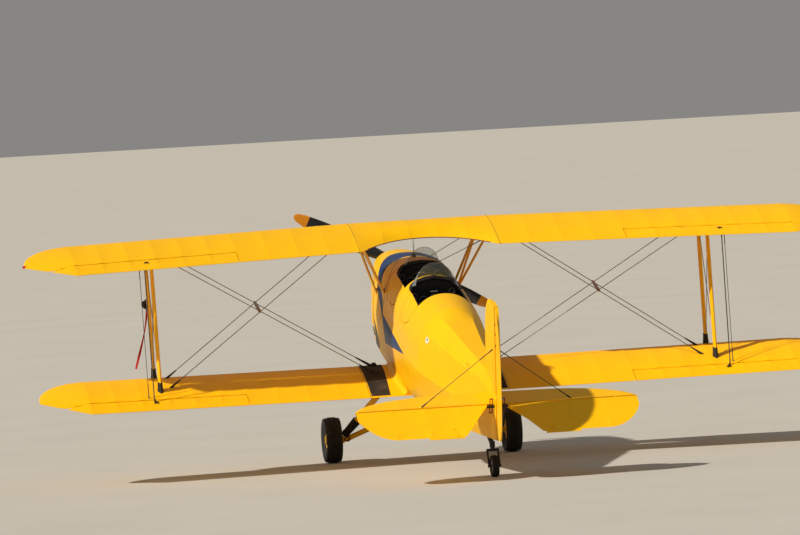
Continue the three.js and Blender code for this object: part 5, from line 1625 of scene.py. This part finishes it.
def buildFloorBoards(bm):
    for y0, y1 in ((1.6, 2.6), (2.65, 3.4)):
        base = max(floorAt(y0), floorAt(y1))
        addBlock(bm, (0.055, y0, base), (0.19, y1, base + 0.012), 0.003)
    mirrorAcross(bm)


mirroredPair(buildCockpitFrame, "cockpit_side_tubes", "inside", crease=50)
makeOne(buildThrottles, "throttle_levers", "black", crease=50)
makeOne(buildFloorBoards, "floor_boards", "spruce")
print("cockpits furnished")

# Windscreens: bent acrylic with a thin metal edge and a rubber foot
screens = {"front": {"y": 1.67, "half": 0.16, "bow": 0.1, "height": 0.18, "leanMiddle": 0.264, "leanSide": 0.06},
           "rear": {"y": 2.41, "half": 0.21, "bow": 0.1, "height": 0.138, "leanMiddle": 0.11, "leanSide": 0.11}}
sheet = {"halfThick": 0.0016, "bulge": 0.012, "edge": 0.0015, "foot": 0.006, "wrap": 84, "steps": 40}
for place, s in screens.items():
    foot, head, rings = [], [], []
    for i in range(sheet["steps"] + 1):
        angle = (i / sheet["steps"] * 2 - 1) * math.radians(sheet["wrap"])
        x, y = s["half"] * math.sin(angle), s["y"] - s["bow"] * math.cos(angle) + 0.35 * s["bow"]
        foot.append(onDeck(x, y))
        rise = math.cos(angle) ** 0.7
        lean = s["leanSide"] + (s["leanMiddle"] - s["leanSide"]) * rise
        head.append(Vector((x * 0.88, y + lean, foot[-1].z + s["height"] * rise + 0.012)))
        out = Vector((math.sin(angle), -math.cos(angle), 0))
        skin = out * sheet["halfThick"]
        curve = [foot[-1].lerp(head[-1], t) + out * sheet["bulge"] * math.sin(math.pi * t)
                 for t in (0, 0.2, 0.4, 0.6, 0.8, 1)]
        rings.append([p + skin for p in curve] + [p - skin for p in curve[::-1]])
    name = f"windscreen_{place}"
    makeOne(lambda bm: loftRings(bm, rings), f"{name}_sheet", "acrylic", "root", (name,), 60)
    makeOne(lambda bm: addTube(bm, foot, sheet["foot"], 12), f"{name}_foot", "rubber", crease=60)
    makeOne(lambda bm: addTube(bm, head, sheet["edge"], 10), f"{name}_edge", "alloy", crease=60)

gaugeFoot = onDeck(0, 1.256)


def buildGaugeEnds(bm):
    for low, high, radius, steps in ((-0.004, 0.012, 0.022, 28), (0.012, 0.032, 0.0135, 28), (0.182, 0.208, 0.0135, 28),
                                     (0.208, 0.216, 0.009, 28), (0.03, 0.12, 0.0018, 10)):
        addRod(bm, gaugeFoot + upBy(low), gaugeFoot + upBy(high), radius, steps)


makeOne(lambda bm: addTube(bm, [gaugeFoot + upBy(h) for h in (0.024, 0.1, 0.186)], 0.0105, 24),
        "fuel_gauge_tube", "acrylic", "root", ("fuel_gauge",), 50)
makeOne(buildGaugeEnds, "fuel_gauge_ends", "burnt", crease=40)

# Seams, hatches and other small things on the fuselage; seam points are (y, x) on the deck, then (y, z) on the side
seams = (([(1.57, 0), (1.58, 0.11), (1.62, 0.2)],
          [(1.64, 0.26), (1.65, 0.18), (1.64, 0.09), (1.635, 0.01), (1.59, -0.06), (1.53, -0.2)]),
         ([(1.05, 0.0), (1.05, 0.12), (1.05, 0.22)],
          [(1.05, 0.24), (1.05, 0.085), (1.05, -0.16), (1.05, -0.49)]))
port = {"y": 3.69, "z": 0.173, "length": 0.05, "height": 0.034, "thick": 0.003}
portHole = {"length": 0.013, "height": 0.012, "thick": 0.0036}
handholds = {"y": 4.92, "z": 0.26, "step": 0.035, "height": 0.05}
exitSlot = {"high": -0.275, "low": -0.6, "front": 1.054, "depth": 0.27}
skinLift, deckFrom = 0.0003, 0.24


def buildSeams(bm):
    for deckPart, sidePart in seams:
        corners = [onDeck(x, y, skinLift) for y, x in deckPart] + [onSide(y, z, skinLift) for y, z in sidePart]
        # back onto the curved skin after the straight steps
        seam = [onDeck(p.x, p.y, skinLift) if p.z > deckFrom else onSide(p.y, p.z, skinLift)
                for p in evenly(corners, 0.04)]
        addTube(bm, seam, 0.0017, 8)
    for z in (0.05, -0.3):
        addTube(bm, [onSide(0.31 + 0.73 * k / 12, z, skinLift) for k in range(13)], 0.0015, 8)


def ovalPlate(form):
    # A thin plate on the middle of the round port, with its rim chamfered
    def build(bm):
        y, z = port["y"], port["z"]
        centre = onSide(y, z)
        along = (onSide(y + 0.06, z) - centre).normalized()
        way = along.cross(onSide(y, z + 0.04) - centre).normalized()
        way = way if way.x > 0 else -way
        up = way.cross(along).normalized()
        loftRings(bm, [[centre + along * form["length"] * size * math.cos(a) + up * form["height"] * size * math.sin(a)
                        + way * lift for a in turnsOf(28)]
                       for lift, size in ((-0.004, 1), (form["thick"] * 0.6, 1), (form["thick"], 0.9))])
    return build


def buildHandholdSlotShades(bm):
    # Painted shade: black lines on the side stand for the dark insides of the handhold slots, which are not cut open
    for y in (handholds["y"] + handholds["step"] * k for k in range(3)):
        high, low = onSide(y, handholds["z"]), onSide(y, handholds["z"] - handholds["height"])
        addTube(bm, [high, high.lerp(low, 0.5) + Vector((0.001, 0, 0)), low], 0.003, 8)


def buildOutletShade(bm):
    # Painted shade for the cowl's side outlet: a black block inside it and black on its turned lip make the opening
    # read dark
    addTube(bm, [onSide(y, z, 0.003) for y, z in outlet], 0.006, 10, closed=True)
    addBlock(bm, (0.2, 0.77, -0.615), (0.225, 0.95, -0.425), 0.004)


def buildCoolingExitShade(bm):
    # Painted shade: a thin black lens laid on the left side stands for the dark inside of the cooling air exit, which
    # is not cut open
    rings = []
    for share in (k / 16 for k in range(17)):
        z = exitSlot["high"] + (exitSlot["low"] - exitSlot["high"]) * share
        reach = 0.012 + exitSlot["depth"] * math.sin(math.pi * share) ** 0.7
        ys = [exitSlot["front"] + reach * i / 5 for i in range(6)]
        rings.append([onSide(y, z, 0.003) for y in ys] + [onSide(y, z, -0.003) for y in ys[::-1]])
    loftRings(bm, rings)


mirroredPair(buildSeams, "panel_seams", "black")
mirroredPair(ovalPlate(port), "inspection_port", "mark")
# Painted shade: a small black oval on the port's plate stands for the dark inside of its hole
mirroredPair(ovalPlate(portHole), "inspection_port_hole_shade", "black")
mirroredPair(buildHandholdSlotShades, "handhold_slot_shades", "black")
makeOne(buildOutletShade, "cowl_outlet_shade", "black")
makeOne(buildCoolingExitShade, "cooling_exit_shade_left", "black")


# Wings: joint strips, fittings, lamps and the bound trailing edge of the centre section
def buildJointStrips(bm):
    for wing in wings.values():
        addTube(bm, [Vector((wing["rootX"], p.y, p.z)) for p in wingRing(wing, 0, 0.0)], 0.0022, 8)
    mirrorAcross(bm)


def buildTailBinding(bm):
    tail = wingPoint(wings["upper"], 0, chord, 0)
    addTube(bm, [Vector((x, tail.y - cutDepth(x) - 0.002, tail.z)) for x in (0.56 * k / 28 for k in range(-28, 29))],
            0.0045, 10)


def buildLinkPlate(wing):
    # Four-armed plate over the link's lug
    def build(bm):
        aft = hingeAft + 0.05
        spot = wingPoint(wing, 1.975, aft, skinHeight(aft / chord) + 0.0005)
        for turn in (45, 135):
            arm = Matrix.Rotation(math.radians(turn), 4, "Z") @ Matrix.Diagonal((0.052, 0.014, 0.004, 1))
            bmesh.ops.create_cube(bm, size=1, matrix=Matrix.Translation(spot) @ arm)
        addBall(bm, spot, 0.008, 8)
    return build


def buildLamp(sign):
    def build(bm):
        wing = wings["upper"]
        base = wingPoint(wing, wing["length"] - 0.012, 0.51, 0.002)
        steps = ((0, 0, 0), (0.012, 0, 0), (0.026, -0.002, 0), (0.034, -0.003, 0))
        addTube(bm, [base + Vector(step) for step in steps], lambda t: 0.0125 * math.sqrt(max(0.02, 1 - t ** 3)), 18)
        if sign < 0:
            flip(bm)
    return build


makeOne(buildJointStrips, "wing_joint_strips", "black")
makeOne(buildTailBinding, "centre_tail_binding", "spruce")
for level, wing in wings.items():
    mirroredPair(buildLinkPlate(wing), f"{level}_link_plate", "dark", f"{level}_aileron_")
for (side, sign), lens in zip(sides, ("redLens", "greenLens")):
    makeOne(buildLamp(sign), f"tip_lamp_{side}", lens, crease=60)
makeOne(lambda bm: addTube(bm, [(0, y, 0.3) for y in (6.39, 6.408, 6.42)], lambda t: 0.011 * (1 - 0.5 * t), 16),
        "rudder_lamp", "acrylic", "rudder", crease=60)
cableEnds = [wingPoint(wings[level], 2.03, 0.7, height) for level, height in (("lower", 0.032), ("upper", -0.014))]
mirroredPair(lambda bm: wireTube(bm, *cableEnds, wireRadius["cable"]), "aileron_cable", "steel")

# Air-speed head on the left front strut, under its cover with a warning ribbon
headPlace = strutEnds("front")[0].lerp(strutEnds("front")[1], 0.46)
ribbon = {"length": 0.56, "width": 0.022, "out": 0.115, "halfThick": 0.0006, "steps": 28}


def atHead(x, y, z):
    return headPlace + Vector((x, y, z))


def buildHead(bm):
    addRod(bm, atHead(0, 0.03, 0), atHead(0, -0.05, 0), 0.006, 14)
    addTube(bm, [atHead(0, -0.02, z) for z in (-0.025, 0.0, 0.025)], 0.022, 18)
    for z in (-0.018, 0.018):
        addRod(bm, atHead(0, -0.04, z), atHead(0, -0.26, z), 0.0055, 16)


def coverSize(t):
    return 0.034 + 0.008 * math.sin(t * 3.1) - 0.012 * t * t


makeOne(buildHead, "airspeed_head", "dark", crease=50)
coverLine = [atHead(0.002 * k, -0.1 - 0.03 * k, -0.004 * k) for k in range(7)]
cover = makeOne(lambda bm: addTube(bm, coverLine, coverSize, 20), "airspeed_head_cover", "canvasBlack", crease=70)
rings, ribbonLine = [], []
for t in (k / ribbon["steps"] for k in range(ribbon["steps"] + 1)):
    drift = Vector((ribbon["out"] * t ** 1.3, 0.02 * math.sin(5 * t), -ribbon["length"] * t))
    middle = atHead(0.004, -0.12, -0.034) + drift
    ribbonLine.append(middle)
    turn = 0.9 * math.sin(4.2 * t)
    across = Vector((math.cos(turn), math.sin(turn), 0)) * ribbon["width"] / 2
    face = Vector((-math.sin(turn), math.cos(turn), 0)) * ribbon["halfThick"]
    rings.append([middle + across + face, middle - across + face, middle - across - face, middle + across - face])
warning = makeOne(lambda bm: loftRings(bm, rings), "warning_ribbon", "redCloth", crease=60)
print("details added")
engineBlock = frame["nodes"]["engine"]
engineBlock.data.materials.clear()
engineBlock.data.materials.append(finishes["alloy"])

# Floor and studio light
studio = {"floorRadius": 260, "floorDark": "B9B7B0", "floorPale": "C6C4BE", "cloud": 0.6,
          "sky": "E9E6E2", "skyStrength": 0.3}
bm = bmesh.new()
bmesh.ops.create_circle(bm, cap_ends=True, segments=96, radius=studio["floorRadius"])
floorMesh = bpy.data.meshes.new("studio_floor")
bm.to_mesh(floorMesh)
bm.free()
floorMaterial, floorTree, floorShader = newMaterial("paleConcrete", Roughness=0.9)
floorCloud = noise(floorTree, objectPlace(floorTree), studio["cloud"], 5)
floorColour = mixColours(floorTree, floorCloud, linear(studio["floorDark"]), linear(studio["floorPale"]))
floorTree.links.new(floorColour, floorShader.inputs["Base Color"])
floorMesh.materials.append(floorMaterial)
floor = bpy.data.objects.new("studio_floor", floorMesh)
scene.collection.objects.link(floor)

keyLight = {"from": (9.6, 3.45, 9.5), "strength": 3.8, "spread": 1.5, "warmth": "FFF4E4"}
sunData = bpy.data.lights.new("key_light", "SUN")
sunData.energy = keyLight["strength"]
sunData.angle = math.radians(keyLight["spread"])
sunData.color = linear(keyLight["warmth"])[:3]
sun = bpy.data.objects.new("key_light", sunData)
scene.collection.objects.link(sun)
sun.rotation_mode = "QUATERNION"
sun.rotation_quaternion = Vector(keyLight["from"]).to_track_quat("Z", "Y")
world = bpy.data.worlds.new("studio_sky")
scene.world = world
world.use_nodes = True
sky = world.node_tree.nodes["Background"]
sky.inputs["Color"].default_value = linear(studio["sky"])
sky.inputs["Strength"].default_value = studio["skyStrength"]
scene.view_settings.view_transform = "Standard"
print("lit")
